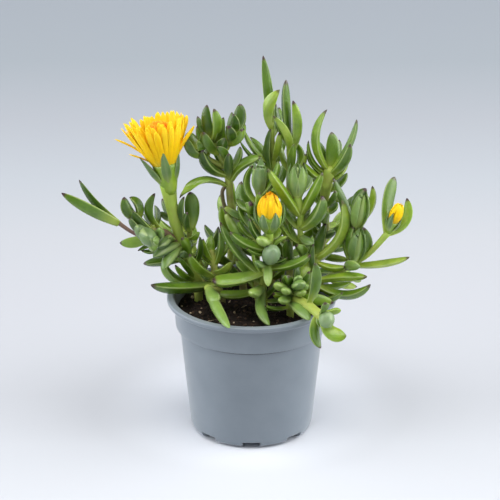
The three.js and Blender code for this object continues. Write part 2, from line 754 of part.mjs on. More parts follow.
function stillBeads(stems) {
  const beads = [];
  for (const { shoot, curve, girth, buds } of stems) {
    const radius = Math.max(...girth) / 2;
    for (let k = 0; k <= STEM_BEADS; k++) beads.push(bead(shoot, curve.getPoint(k / STEM_BEADS), radius));
    for (const { root, tip, width } of buds) {
      for (const t of BUD_BEADS) beads.push(bead(shoot, root.clone().lerp(tip, t), width / 2));
    }
  }
  for (const flower of Object.values(FLOWERS)) {
    const put = aboutAxis(flower);
    for (const [radius, height] of flower.room) beads.push(bead("petals", put(0, 0, height), radius));
  }
  return beads;
}

function leafBeads(leaf) {
  const curve = new THREE.QuadraticBezierCurve3(leaf.root, leaf.control, leaf.tip);
  return LEAF_BEADS.map((t) => {
    const radius = (leaf.width / 2) * Math.max(swell(t, leaf.belly), 0.2);
    return { ...bead(leaf.shoot, curve.getPoint(t), radius), leaf, t };
  });
}

// How far a ball must still go along the easing direction to clear another: positive to the back,
// negative to the front, and nought where it is clear.
function shortfall(ball, other) {
  const reach = ball.radius + other.radius + EASING.gap;
  const x = ball.x - other.x;
  if (Math.abs(x) >= reach) return 0;
  const y = ball.y - other.y;
  const z = ball.z - other.z;
  const along = y * EASING.back[1] + z * EASING.back[2];
  const beside = x * x + y * y + z * z - along * along;
  if (beside >= reach * reach) return 0;
  const short = Math.sqrt(reach * reach - beside) - Math.abs(along);
  return short <= 0 ? 0 : short * Math.sign(along || 1);
}

function easeApart(stems) {
  const leaves = stems.flatMap((stem) => stem.leaves);
  const still = stillBeads(stems);
  const back = vector(EASING.back);
  for (let round = 0; round < EASING.rounds; round++) {
    const moving = leaves.flatMap(leafBeads);
    const pushes = new Map(leaves.map((leaf) => [leaf, { back: 0, front: 0 }]));
    for (const ball of moving) {
      const push = pushes.get(ball.leaf);
      const weigh = (others, share) => {
        for (const other of others) {
          if (other.shoot === ball.shoot) continue;
          const step = (shortfall(ball, other) * share) / Math.max(ball.t, 0.3);
          push.back = Math.max(push.back, step);
          push.front = Math.max(push.front, -step);
        }
      };
      weigh(moving, 0.5);
      weigh(still, 1);
    }
    for (const [leaf, push] of pushes) {
      const step = EASING.rate * (push.back - push.front);
      leaf.tip.addScaledVector(back, step);
      leaf.control.addScaledVector(back, step / 2);
    }
  }
}

// ---------------------------------------------------------------- buds and flowers

// Any two directions square to an axis and to each other.
function squareTo(axis) {
  const across = new THREE.Vector3(1, 0, 0).addScaledVector(axis, -axis.x).normalize();
  return [across, axis.clone().cross(across)];
}

const SEPAL_STATIONS = [0, 0.42, 0.82];
const BUD = {
  spin: 20, // degrees from across, of the first sepal
  spread: 0.06, // how far apart the sepals' tips end, as a share of the bud's width
  foot: 0.1, // and how far apart they start
  swell: 0.55, // and how far out their middles are drawn
  belly: 0.45, // where the bud is widest
  wrap: 2.7, // widths of all the sepals together, as a share of the bud's width
  core: { width: 0.82, height: 0.93 }, // the plump core, as shares of the bud
};

// A ring of sepals round an axis: each leaves the root, swells out to the bud's width and closes again
// towards its tip, which ends at a share of that width.
function sepalRing({ root, tip, width, sepals }) {
  const axis = tip.clone().sub(root);
  const length = axis.length();
  axis.normalize();
  const [across, beyond] = squareTo(axis);
  const blades = [];
  for (let i = 0; i < sepals; i++) {
    const turn = THREE.MathUtils.degToRad(BUD.spin + (360 * i) / sepals);
    const out = across.clone().multiplyScalar(Math.cos(turn)).addScaledVector(beyond, Math.sin(turn));
    const control = root.clone().addScaledVector(axis, length * BUD.belly);
    control.addScaledVector(out, width * BUD.swell);
    const end = tip.clone().addScaledVector(out, width * BUD.spread);
    const foot = root.clone().addScaledVector(out, width * BUD.foot);
    const blade = { root: foot, control, tip: end, belly: BUD.belly, heart: tip };
    blade.width = (width * BUD.wrap) / sepals;
    blades.push(solidFrom(leafShape(blade, SEPAL_STATIONS, LEAF_SECTION)));
  }
  return blades;
}

// A closed bud: its sepals over a plump core.
function budSolids(bud) {
  const middle = bud.root.clone().lerp(bud.tip, 0.5);
  const [across] = squareTo(bud.tip.clone().sub(bud.root).normalize());
  const tip = bud.root.clone().lerp(bud.tip, BUD.core.height);
  const heart = middle.clone().add(across);
  const core = { root: bud.root, control: middle, tip, belly: BUD.belly, heart };
  core.width = bud.width * BUD.core.width;
  return [solidFrom(leafShape(core, SEPAL_STATIONS, CORE_SECTION)), ...sepalRing(bud)];
}

// The open flower and the two buds that show their petals. Each sits on the end of a stem: a cup that
// the stem swells into, its unequal sepals, the core that the petals spring from, the petals in rings,
// and in the open flower the brush of stamens. Heights are along the flower's axis from its base, radii
// are from that axis, and turns are in degrees from +X. Room is how far the petals reach at a height.
const FLOWERS = {
  bloom: {
    shoot: "bloom_shoot",
    base: [-51, 3, 163],
    axis: [-0.174, 0.1, 0.98],
    cup: [[5.6, -1], [6.8, 4], [8.4, 8.6]],
    sepal: { root: [4.5, 2], bend: [10, 8], width: 8 },
    sepals: [
      { turn: 180, tip: [14, 15.5] },
      { turn: -88, tip: [14, 22] },
      { turn: -12, tip: [13.5, 20] },
      { turn: 58, tip: [13.5, 17] },
      { turn: 122, tip: [13.5, 18] },
    ],
    core: { rings: [[5, 9], [8, 13.5], [9.6, 18]], heart: 12 },
    petals: [
      { count: 20, first: 0, root: [6, 11.5], bend: [12.5, 21], tip: [19.5, 35], width: 2.6, ragged: 1.6 },
      { count: 14, first: 11, root: [6, 11.5], bend: [11.5, 21], tip: [15, 39.5], width: 2.6, ragged: 1.6 },
    ],
    room: [[9, 12], [12, 20], [16, 28], [19, 36]],
    stamens: {
      bed: [[1.6, 13.6], [6.4, 16.6], [5.2, 20]],
      count: 12,
      root: [3.4, 18],
      bend: [5, 26],
      tip: [6, 36],
      width: 1.6,
      droop: 0.3, // how much lower an outer one ends, for each millimetre that it reaches out
    },
  },
  front_bud: {
    shoot: "front_bud_shoot",
    base: [11, -14, 136],
    axis: [0, -0.03, 1],
    cup: [[2.3, -0.5], [4.6, 2.5], [6.2, 6]],
    sepal: { root: [3.4, 2], bend: [8.6, 8], width: 7 },
    sepals: [
      { turn: 172, tip: [8.8, 20] },
      { turn: 8, tip: [8.4, 18.5] },
      { turn: -122, tip: [6.9, 14.5] },
      { turn: -62, tip: [7.2, 15] },
      { turn: 90, tip: [7.6, 18] },
    ],
    core: { rings: [[2.2, 6.6], [4.4, 9]], heart: 12 },
    petals: [
      { count: 8, first: 0, root: [3.8, 8.4], bend: [7.4, 17], tip: [1.6, 26.5], width: 4, ragged: 0.5 },
    ],
    room: [[5, 9], [6, 14], [6, 19], [4, 24]],
  },
  outer_bud: {
    shoot: "right_shoot",
    base: [83.4, -10, 134],
    axis: [0.376, 0, 0.926],
    cup: [[1.8, -1], [2.8, 2], [3.5, 4.4]],
    sepal: { root: [2, 1], bend: [4.9, 5], width: 4.6 },
    sepals: [
      { turn: -105, tip: [4.6, 10] },
      { turn: -10, tip: [4.4, 8.5] },
      { turn: 80, tip: [4.4, 9] },
      { turn: 165, tip: [4.4, 9.5] },
    ],
    core: { rings: [[1.4, 4.9], [2.6, 7]], heart: 9 },
    petals: [
      { count: 6, first: 0, root: [2.2, 6.6], bend: [4.2, 11], tip: [1, 16.5], width: 2.6, ragged: 0.4 },
    ],
    room: [[3.4, 6], [3.6, 10], [3, 14]],
  },
};
const PETAL_SECTION = [
  [-1, 0.3],
  [1, 0.3],
  [0, -0.4],
];
const CORE_SECTION = [0, 72, 144, 216, 288].map((turn) => {
  const angle = THREE.MathUtils.degToRad(turn);
  return [Math.cos(angle), -Math.sin(angle)];
});
const ROUND_SIDES = 8;

// Puts a point by its radius, turn and height about a flower's axis.
function aboutAxis({ base, axis }) {
  const along = vector(axis).normalize();
  const [across, beyond] = squareTo(along);
  return (radius, turn, height) => {
    const angle = THREE.MathUtils.degToRad(turn);
    return vector(base)
      .addScaledVector(along, height)
      .addScaledVector(across, radius * Math.cos(angle))
      .addScaledVector(beyond, radius * Math.sin(angle));
  };
}

// A round body on a flower's axis, through [radius, height] rings, closed at a height on the axis.
function roundSolid(put, profile, heart) {
  const rings = profile.map(([radius, height]) =>
    Array.from({ length: ROUND_SIDES }, (_, i) => put(radius, (i * 360) / ROUND_SIDES, height)),
  );
  return solidFrom(skinOver(rings, put(0, 0, heart)));
}

// A blade of a flower: its root, bend and tip share a turn, and its face looks at the axis.
function bladeSolid(put, { turn, root, bend, tip, width, belly = 0.6, section = PETAL_SECTION }) {
  const [start, control, end] = [root, bend, tip].map(([radius, height]) => put(radius, turn, height));
  const blade = { root: start, control, tip: end, width, belly, heart: put(0, 0, tip[1]) };
  return solidFrom(leafShape(blade, SEPAL_STATIONS, section));
}

function calyxSolids(flower) {
  const put = aboutAxis(flower);
  const section = LEAF_SECTION.map(([across, proud]) => [across, proud * 0.6]);
  const sepals = flower.sepals.map((sepal) =>
    bladeSolid(put, { ...flower.sepal, ...sepal, belly: 0.4, section }),
  );
  return [roundSolid(put, flower.cup, flower.cup.at(-1)[1]), ...sepals];
}

function petalSolids(flower) {
  const put = aboutAxis(flower);
  const solids = [roundSolid(put, flower.core.rings, flower.core.heart)];
  for (const { count, first, ragged, tip, ...blade } of flower.petals) {
    for (let i = 0; i < count; i++) {
      const uneven = ragged * Math.sin(i * 2.4 + first);
      const end = [tip[0] + uneven, tip[1] - uneven * 0.8];
      solids.push(bladeSolid(put, { ...blade, turn: first + (i * 360) / count, tip: end }));
    }
  }
  return solids;
}

function stamenSolids(flower) {
  const put = aboutAxis(flower);
  const { bed, count, root, bend, tip, width, droop } = flower.stamens;
  const solids = [roundSolid(put, bed, bed.at(-1)[1] + 1)];
  for (let i = 0; i < count; i++) {
    const share = ((i * 7) % count) / count;
    const reach = tip[0] * (0.35 + 0.65 * share);
    const end = [reach, tip[1] - droop * reach];
    solids.push(bladeSolid(put, { turn: (i * 360) / count, root, bend, tip: end, width }));
  }
  return solids;
}


// ---------------------------------------------------------------- the plant, put together

const SHOOTS = {
  bloom_shoot: BLOOM_SHOOT,
  low_left_shoot: LOW_LEFT_SHOOT,
  head_shoot: HEAD_SHOOT,
  closed_bud_shoot: CLOSED_BUD_SHOOT,
  tallest_shoot: TALLEST_SHOOT,
  tall_shoot: TALL_SHOOT,
  big_bud_shoot: BIG_BUD_SHOOT,
  upper_right_shoot: UPPER_RIGHT_SHOOT,
  right_shoot: RIGHT_SHOOT,
  low_right_shoot: LOW_RIGHT_SHOOT,
  front_bud_shoot: FRONT_BUD_SHOOT,
  rim_shoot: RIM_SHOOT,
};

const stems = Object.entries(SHOOTS).flatMap(([name, rows]) => rows.map((row) => grown(name, row)));
stems.push(...BACK_SHOOTS.map(backStem));
easeApart(stems);

// The part of a shoot's first stem that stands in the soil, fatter by a clearance when it cuts the soil.
function stemFoot(stem, clearance) {
  const { x, y, z } = stem.curve.getPoint(0);
  const girth = stem.girth[0] + 2 * clearance;
  const ends = [SOIL.rootDepth - clearance, z + 0.5];
  return stemSolid(curveThrough(ends.map((height) => new THREE.Vector3(x, y, height))), [girth, girth]);
}

const plant = new THREE.Group();
const pot = potSolid();
plant.add(meshOf("pot", pot, PLASTIC));
const feet = [...Object.keys(SHOOTS), ...BACK_SHOOTS.map(({ name }) => name)].map((name) =>
  stems.find((stem) => stem.shoot === name),
);
const soil = soilSolid(feet.map((stem) => stemFoot(stem, SOIL.stemClearance)));
plant.add(meshOf("soil", soil, PEAT));
for (const first of feet) {
  const solids = [stemFoot(first, 0)];
  for (const stem of stems.filter(({ shoot }) => shoot === first.shoot)) {
    solids.push(stemSolid(stem.curve, stem.girth), ...stem.leaves.map(leafSolid));
    solids.push(...stem.buds.flatMap(budSolids));
  }
  const flowers = Object.values(FLOWERS).filter(({ shoot }) => shoot === first.shoot);
  solids.push(...flowers.flatMap(calyxSolids));
  plant.add(meshOf(first.shoot, fused(solids), LEAF));
}
for (const [name, flower] of Object.entries(FLOWERS)) {
  plant.add(meshOf(`${name}_petals`, fused(petalSolids(flower)), PETAL));
}
plant.add(meshOf("bloom_stamens", fused(stamenSolids(FLOWERS.bloom)), STAMEN));

export default plant;
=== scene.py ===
"""A potted ice plant in flower. Metres, +Z up, the origin under the pot's axis on the floor."""

import math

import bpy
import numpy as np
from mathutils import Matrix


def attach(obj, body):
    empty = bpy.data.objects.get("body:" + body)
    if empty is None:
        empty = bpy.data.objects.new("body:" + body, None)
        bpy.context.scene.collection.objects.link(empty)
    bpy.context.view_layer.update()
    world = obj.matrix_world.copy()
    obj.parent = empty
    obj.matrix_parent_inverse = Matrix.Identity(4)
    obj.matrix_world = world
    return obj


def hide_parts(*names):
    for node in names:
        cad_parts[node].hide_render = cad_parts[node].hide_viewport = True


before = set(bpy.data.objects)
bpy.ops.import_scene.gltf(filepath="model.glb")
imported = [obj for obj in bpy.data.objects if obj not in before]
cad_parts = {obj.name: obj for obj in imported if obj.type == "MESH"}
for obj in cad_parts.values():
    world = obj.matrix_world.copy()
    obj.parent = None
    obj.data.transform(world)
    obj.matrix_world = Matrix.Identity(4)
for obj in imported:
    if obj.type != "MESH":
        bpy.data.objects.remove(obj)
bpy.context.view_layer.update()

# ---------------------------------------------------------------- the studio
# A sheet of pale paper runs back from under the pot, in a white tent between large soft lamps. Its greys
# darken with distance, painted shade for the light that falls off towards the back, and it is painted paler
# close round the pot, painted light that lifts the pot's shadow there. The camera has a long lens and looks
# down a little from far away.

VIEW_DOWN, VIEW_DISTANCE, VIEW_LENS = math.radians(22.0), 1.5, 175.2
VIEW_TARGET = (-0.00091, 0.0, 0.118)
PAPER_FRONT, PAPER_BACK = -0.2, 1.0  # where along Y the painted shade begins and ends
# painted shade: the paper's greys darken towards the back, in place of the light falling off there
PAPER_PAINTED_SHADE = [
    (0.085, (0.555, 0.574, 0.613)),
    (0.14, (0.553, 0.572, 0.613)),
    (0.2, (0.497, 0.513, 0.552)),
    (0.33, (0.485, 0.498, 0.537)),
    (0.43, (0.472, 0.488, 0.524)),
    (0.535, (0.438, 0.465, 0.504)),
    (0.66, (0.398, 0.419, 0.458)),
    (0.8, (0.352, 0.385, 0.422)),
    (0.95, (0.357, 0.388, 0.43)),
]
# painted light: the paper is paler within this reach of the pot, which lifts the pot's shadow there
PAINTED_LIGHT_CENTRE, PAINTED_LIGHT_REACH, PAINTED_LIGHT_LIFT = (0.0, 0.03, 0.0), (0.045, 0.105), 1.38
TENT_SIDES, TENT_SHARE, TENT_FRONT = 4.4, 3.0, 0.12  # brightness = sides * |x|^share + front
TENT_WHITE, LAMP_WHITE, LAMP_AIM = (0.93, 0.96, 1.0, 1.0), (1.0, 0.98, 0.95), (0.0, 0.0, 0.1)
LAMPS = {
    "left_box": {"at": (-1.35, -0.1, 0.9), "size": 1.2, "watts": 4.5},
    "right_box": {"at": (1.35, 0.1, 0.8), "size": 1.2, "watts": 7.0},
    "top_box": {"at": (0.05, -0.45, 1.7), "size": 1.3, "watts": 23.0},
}


def put(value, socket):
    """A socket takes what another socket gives, or a plain value."""
    if isinstance(value, bpy.types.NodeSocket):
        socket.id_data.links.new(value, socket)
    else:
        socket.default_value = value


def node(tree, kind, *inputs, operation=None, **named):
    """A shader node of a kind, its inputs filled in their order or by their names."""
    made = tree.nodes.new("ShaderNode" + kind)
    if operation:
        made.operation = operation
    for socket, value in zip(made.inputs, inputs):
        put(value, socket)
    for name, value in named.items():
        put(value, made.inputs[name.replace("_", " ")])
    return made


def material(name, **sockets):
    """A material with a Principled shader, its plain values set on the shader's own sockets."""
    made = bpy.data.materials.new(name)
    made.use_nodes = True
    shader = made.node_tree.nodes["Principled BSDF"]
    for socket, value in sockets.items():
        shader.inputs[socket.replace("_", " ")].default_value = value
    return made, made.node_tree, shader


def ramp(share, stops):
    """The colour at a share on a ramp through (place, colour) stops."""
    made = node(share.id_data, "ValToRGB", share)
    band = made.color_ramp
    while len(band.elements) < len(stops):
        band.elements.new(0.5)
    for element, (place, colour) in zip(band.elements, stops):
        element.position = place
        element.color = (*colour, 1.0)
    return made.outputs["Color"]


def sums(way, one, *others, clamp=False):
    """One sum of a socket and other sockets or plain numbers."""
    made = node(one.id_data, "Math", one, *others, operation=way)
    made.use_clamp = clamp
    return made.outputs[0]


def between(value, low, high, start=0.0, end=1.0):
    """The start where a value is at low, the end where it is at high, and smooth between the two."""
    made = node(value.id_data, "MapRange", value, low, high, start, end)
    made.interpolation_type = "SMOOTHSTEP"
    return made.outputs["Result"]


camera_data = bpy.data.cameras.new("camera")
camera_data.lens = VIEW_LENS
camera_data.sensor_width = 36.0
camera_data.clip_end = 30.0
camera = bpy.data.objects.new("camera", camera_data)
back, up = VIEW_DISTANCE * math.cos(VIEW_DOWN), VIEW_DISTANCE * math.sin(VIEW_DOWN)
camera.location = (VIEW_TARGET[0], VIEW_TARGET[1] - back, VIEW_TARGET[2] + up)
camera.rotation_euler = (math.pi / 2 - VIEW_DOWN, 0.0, 0.0)
bpy.context.scene.collection.objects.link(camera)
bpy.context.scene.camera = camera

paper, tree, shader = material("paper", Roughness=0.9, Specular_IOR_Level=0.15)
place = node(tree, "TexCoord").outputs["Object"]
depth = node(tree, "SeparateXYZ", place).outputs["Y"]
# the paper's colour by depth: painted shade, darker towards the back
grey = ramp(node(tree, "MapRange", depth, PAPER_FRONT, PAPER_BACK).outputs["Result"], PAPER_PAINTED_SHADE)
# painted light: paler paper close round the pot, lifting the shadow there
reach = node(tree, "VectorMath", place, PAINTED_LIGHT_CENTRE, operation="DISTANCE").outputs["Value"]
pale = node(tree, "VectorMath", grey, operation="SCALE", Scale=between(reach, *PAINTED_LIGHT_REACH, PAINTED_LIGHT_LIFT, 1.0))
put(pale.outputs["Vector"], shader.inputs["Base Color"])
floor_mesh = bpy.data.meshes.new("floor")
floor_mesh.from_pydata([(-4, -3, 0), (4, -3, 0), (4, 5, 0), (-4, 5, 0)], [], [(0, 1, 2, 3)])
floor_mesh.materials.append(paper)
floor = bpy.data.objects.new("floor", floor_mesh)
bpy.context.scene.collection.objects.link(floor)

tent = bpy.data.worlds.new("white_tent")
tent.use_nodes = True
tree, background = tent.node_tree, tent.node_tree.nodes["Background"]
aside = node(tree, "SeparateXYZ", node(tree, "TexCoord").outputs["Generated"]).outputs["X"]
sides = sums("POWER", sums("ABSOLUTE", aside), TENT_SHARE)
put(sums("MULTIPLY_ADD", sides, TENT_SIDES, TENT_FRONT), background.inputs["Strength"])
background.inputs["Color"].default_value = TENT_WHITE
bpy.context.scene.world = tent

for name, lamp in LAMPS.items():
    data = bpy.data.lights.new(name, "AREA")
    data.shape = "DISK"
    data.size = lamp["size"]
    data.energy = lamp["watts"]
    data.color = LAMP_WHITE
    holder = bpy.data.objects.new(name, data)
    holder.location = lamp["at"]
    aim = np.array(LAMP_AIM) - np.array(lamp["at"])
    flat = math.hypot(aim[0], aim[1])
    holder.rotation_euler = (math.atan2(flat, -aim[2]), 0.0, math.atan2(-aim[0], aim[1]))
    bpy.context.scene.collection.objects.link(holder)
bpy.context.scene.view_settings.view_transform = "Standard"

# ---------------------------------------------------------------- the pot
# A thin nursery pot, injection moulded in blue-grey polypropylene: a tapered wall, a collar over a small
# ledge, a rolled lip, and a foot that is notched for drainage.

MM = 0.001
POT_PROFILE = [  # radius, height and rounding in millimetres: up the outside and down the inside
    (0.4, 0.0, 0.0), (8.0, 0.0, 0.4), (9.0, 2.8, 0.6), (29.5, 2.8, 0.6), (30.5, 0.0, 0.4),  # the underside
    (33.9, 0.0, 1.0), (37.2, 1.5, 1.4), (38.2, 4.4, 1.6), (41.5, 36.6, 6.0),  # the foot and the wall
    (44.5, 66.8, 0.4), (44.35, 67.6, 0.2), (44.5, 68.4, 0.2), (46.9, 68.7, 0.25),  # the ledge
    (47.4, 71.0, 0.8), (47.8, 84.5, 0.35), (52.0, 84.7, 0.4), (52.5, 85.6, 0.5), (52.5, 87.4, 0.5),  # collar
    (51.8, 88.0, 0.5), (48.7, 88.0, 0.6), (47.7, 86.9, 0.6), (46.4, 72.0, 0.6), (42.8, 69.0, 0.6),  # the lip
    (42.6, 61.6, 0.8), (37.1, 5.6, 1.0), (35.7, 4.0, 0.6), (0.4, 4.0, 0.0),  # the inside
]
NOTCHES = {"count": 8, "half": 8.6, "height": 4.4, "inside": 28.0, "edge": 0.25}  # half and edge in degrees
NOTCH_STEPS, FOOT_STEPS = 9, 22  # points across a notch, and along the foot between two


def rounded(profile, steps=5, most=0.45):
    """Every corner P of an outline is cut back by its rounding to A and B, and replaced by the curve (1-t)^2
    A + 2t(1-t) P + t^2 B. It is cut back by a share of the edge at most."""
    points = np.array(profile, float)
    corner, cut = points[:, :2], points[:, 2:3]

    def cut_back(way):
        length = np.linalg.norm(way, axis=1, keepdims=True)
        return (corner + way / length * np.minimum(cut, most * length))[:, None]

    t = np.linspace(0, 1, steps)[None, :, None]
    a, b = (cut_back(np.roll(corner, way, 0) - corner) for way in (1, -1))
    return ((1 - t) ** 2 * a + 2 * t * (1 - t) * corner[:, None] + t**2 * b).reshape(-1, 2)


def net(rows, columns, closed_rows=False, count=1, poles=0):
    """The quads of a grid of points that closes on itself across the columns, and along the rows too where
    that is asked, for a number of grids that follow one another with their poles."""
    last = rows if closed_rows else rows - 1
    i, j = np.meshgrid(np.arange(last), np.arange(columns), indexing="ij")
    ahead, beside = (i + 1) % rows, (j + 1) % columns
    here, there = i * columns, ahead * columns
    quads = np.stack([here + j, here + beside, there + beside, there + j], -1)
    step = np.arange(count)[:, None, None] * (rows * columns + poles)
    return (quads.reshape(1, -1, 4) + step).reshape(-1, 4)


def mesh_piece(name, points, faces, finishes, face_finish=None, **marks):
    """A smooth mesh object from arrays of points and faces, with a value at each point for each mark. Faces
    is a list of whole-number arrays, one for triangles and one for quads."""
    mesh = bpy.data.meshes.new(name)
    mesh.vertices.add(len(points))
    mesh.vertices.foreach_set("co", np.asarray(points, np.float32).ravel())
    sizes = np.concatenate([np.full(len(f), f.shape[1]) for f in faces])
    mesh.loops.add(int(sizes.sum()))
    mesh.loops.foreach_set("vertex_index", np.concatenate([f.ravel() for f in faces]).astype(np.int32))
    mesh.polygons.add(len(sizes))
    starts = np.concatenate([[0], np.cumsum(sizes)[:-1]])
    mesh.polygons.foreach_set("loop_start", starts.astype(np.int32))
    mesh.polygons.foreach_set("use_smooth", np.ones(len(sizes), bool))
    if face_finish is not None:
        mesh.polygons.foreach_set("material_index", face_finish.astype(np.int32))
    for mark, values in marks.items():
        layer = mesh.attributes.new(mark, "FLOAT_COLOR", "POINT")
        layer.data.foreach_set("color", np.asarray(values, np.float32).ravel())
    for finish in finishes:
        mesh.materials.append(finish)
    mesh.update(calc_edges=True)
    mesh.validate()
    made = bpy.data.objects.new(name, mesh)
    bpy.context.scene.collection.objects.link(made)
    return made


def noise(tree, scale, detail=2.0, roughness=0.5):
    """A noise over the object's own metres."""
    place = node(tree, "TexCoord").outputs["Object"]
    made = node(tree, "TexNoise", Vector=place, Scale=scale, Detail=detail, Roughness=roughness)
    return made.outputs["Fac"]


def bump(height, strength, distance, **more):
    """The relief of a height, at a strength and a distance in metres."""
    return node(height.id_data, "Bump", Strength=strength, Distance=distance, Height=height, **more)


# The outline is turned about +Z: a point is (radius cos a, radius sin a, height). Within a notch the foot's
# points are lifted to the notch's height.

pot_outline = rounded(POT_PROFILE)
sector, half = 360.0 / NOTCHES["count"], NOTCHES["half"]
foot = np.linspace(half + NOTCHES["edge"], sector - half - NOTCHES["edge"], FOOT_STEPS)
bearings = np.concatenate([np.linspace(-half, half, NOTCH_STEPS), foot])
turns = np.radians((bearings[None] + sector * np.arange(NOTCHES["count"])[:, None] - 90.0).ravel())
in_notch = np.tile(np.arange(len(bearings)) < NOTCH_STEPS, NOTCHES["count"])
radius, height = pot_outline[:, 0:1], pot_outline[:, 1:2]
notched = in_notch[None] & (radius > NOTCHES["inside"]) & (height < NOTCHES["height"])
height = np.where(notched, NOTCHES["height"], height)
pot_points = np.stack([radius * np.cos(turns), radius * np.sin(turns), height], -1).reshape(-1, 3) * MM

pot_finish, tree, shader = material(
    "moulded_plastic", Roughness=0.36, Specular_IOR_Level=0.5, Sheen_Weight=0.35, Sheen_Roughness=0.4
)
plastic = ramp(noise(tree, 60.0, 3.0), [(0.3, (0.156, 0.186, 0.216)), (0.7, (0.176, 0.207, 0.238))])
put(plastic, shader.inputs["Base Color"])
put(bump(noise(tree, 1500.0), 0.10, 0.0002).outputs["Normal"], shader.inputs["Normal"])

pot_net = net(len(pot_outline), len(turns), closed_rows=True)
pot = mesh_piece("nursery_pot", pot_points, [pot_net], [pot_finish])
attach(pot, "root")
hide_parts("pot")

# ---------------------------------------------------------------- the soil
# Moist dark peat, pressed into the pot by hand and crumbled on top. It fills the pot to under its lip, and
# the stems stand in it.

SOIL_TOP, SOIL_BRIM, SOIL_CENTRE, SOIL_RINGS, SOIL_STEPS = 79.0, 46.2, 0.2, 70, 180
SOIL_WALL = np.array([(46.0, 71.4), (44.6, 68.0), (42.5, 61.6), (36.6, 5.8), (35.4, 4.4), (SOIL_CENTRE, 4.4)])
soil_draw = np.random.default_rng(11)


def crumbs(x, y):
    """Sum of sine products, broad and fine, over x and y in millimetres: the height of the crumbled top."""
    broad = 0.7 * np.sin(0.21 * x + 1.3) * np.cos(0.17 * y - 0.6)
    middle = 0.5 * np.sin(0.53 * x - 0.41 * y) * np.cos(0.37 * x + 0.61 * y + 2.0)
    fine = 0.55 * np.sin(1.7 * x + 0.9 * y + 1.0) * np.sin(1.3 * y - 1.1 * x)
    finest = 0.3 * np.sin(3.1 * x - 2.2 * y) * np.sin(2.7 * y + 1.9 * x + 0.5)
    return 1.1 * (broad + middle) + 0.6 * (fine + finest)


# Rings about +Z run out over the crumbled top to the brim, then down inside the pot's wall and in over its
# floor.

turns = np.linspace(0, 2 * np.pi, SOIL_STEPS, endpoint=False)
radius = np.concatenate([np.linspace(SOIL_CENTRE, SOIL_BRIM, SOIL_RINGS), SOIL_WALL[:, 0]])[:, None]
x, y = radius * np.cos(turns), radius * np.sin(turns)
top = SOIL_TOP + crumbs(x[:SOIL_RINGS], y[:SOIL_RINGS])
height = np.concatenate([top, np.repeat(SOIL_WALL[:, 1:], SOIL_STEPS, 1)])
soil_points = np.stack([x, y, height], -1)[::-1]

peat, tree, shader = material("peat", Roughness=0.95, Specular_IOR_Level=0.25)
lumps = noise(tree, 260.0, 6.0, 0.7)
earth = [(0.32, (0.004, 0.0025, 0.002)), (0.54, (0.012, 0.007, 0.005)), (0.66, (0.036, 0.020, 0.012))]
put(ramp(lumps, [*earth, (0.76, (0.12, 0.075, 0.045))]), shader.inputs["Base Color"])
put(bump(lumps, 0.9, 0.0012).outputs["Normal"], shader.inputs["Normal"])

soil_net = net(len(soil_points), SOIL_STEPS, closed_rows=True)
soil = mesh_piece("peat_soil", soil_points.reshape(-1, 3) * MM, [soil_net], [peat])
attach(soil, "root")
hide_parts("soil")

# ---------------------------------------------------------------- the crumbs on the soil
# Loose crumbs of peat, pale grains and short fibres lie on the soil. Each is a rough lump of twelve corners,
# stretched and turned by chance.

GRAIN_COUNT, GRAIN_REACH, GRAIN_SINK = 520, 45.0, 0.25
GRAIN_LEAST, GRAIN_RANGE, GRAIN_POWER, GRAIN_STRETCH = 0.35, 1.1, 2.2, (0.6, 0.8)
FIBRE_SHARE, FIBRE_SIZE, FIBRE_STRETCH = 0.12, 0.8, (4.5, 0.45, 0.4)
PALE_SHARE, DARK_RANGE, LUMP_CORNERS, LUMP_ROUGH = 0.1, 0.25, 12, 0.3

# A lump has the corners of a regular solid of twenty triangles: (0, 1, g) with its places and signs changed,
# where g is the golden ratio.

g = (1 + 5**0.5) / 2
corner = np.array(
    [(0, 1, g), (0, -1, g), (0, 1, -g), (0, -1, -g), (1, g, 0), (-1, g, 0), (1, -g, 0), (-1, -g, 0)]
    + [(g, 0, 1), (-g, 0, 1), (g, 0, -1), (-g, 0, -1)]
)
corner /= np.linalg.norm(corner[0])
lump_faces = np.array(
    [(0, 1, 8), (0, 8, 4), (0, 4, 5), (0, 5, 9), (0, 9, 1), (1, 6, 8), (8, 6, 10), (8, 10, 4), (4, 10, 2)]
    + [(4, 2, 5), (5, 2, 11), (5, 11, 9), (9, 11, 7), (9, 7, 1), (1, 7, 6), (3, 6, 7), (3, 10, 6), (3, 2, 10)]
    + [(3, 11, 2), (3, 7, 11)]
)
reach = GRAIN_REACH * np.sqrt(soil_draw.random(GRAIN_COUNT))
bearing = 2 * np.pi * soil_draw.random(GRAIN_COUNT)
size = GRAIN_LEAST + GRAIN_RANGE * soil_draw.random(GRAIN_COUNT) ** GRAIN_POWER
stretch = GRAIN_STRETCH[0] + GRAIN_STRETCH[1] * soil_draw.random((GRAIN_COUNT, 3))
fibre = soil_draw.random(GRAIN_COUNT) < FIBRE_SHARE
stretch[fibre], size[fibre] = FIBRE_STRETCH, FIBRE_SIZE
yaw = 2 * np.pi * soil_draw.random((GRAIN_COUNT, 1))
rough = 1 + LUMP_ROUGH * (soil_draw.random((GRAIN_COUNT, LUMP_CORNERS, 1)) - 0.5)
local = corner[None] * rough * stretch[:, None] * size[:, None, None]
turned_x = local[..., 0] * np.cos(yaw) - local[..., 1] * np.sin(yaw)
turned_y = local[..., 0] * np.sin(yaw) + local[..., 1] * np.cos(yaw)
x, y = reach * np.cos(bearing), reach * np.sin(bearing)
lying = np.stack([x, y, SOIL_TOP + crumbs(x, y) + GRAIN_SINK * size], -1)
grain_points = np.stack([turned_x, turned_y, local[..., 2]], -1) + lying[:, None]
is_pale = soil_draw.random(GRAIN_COUNT) < PALE_SHARE
pale = np.where(is_pale, 1.0, DARK_RANGE * soil_draw.random(GRAIN_COUNT))
pale = np.repeat(pale, LUMP_CORNERS)

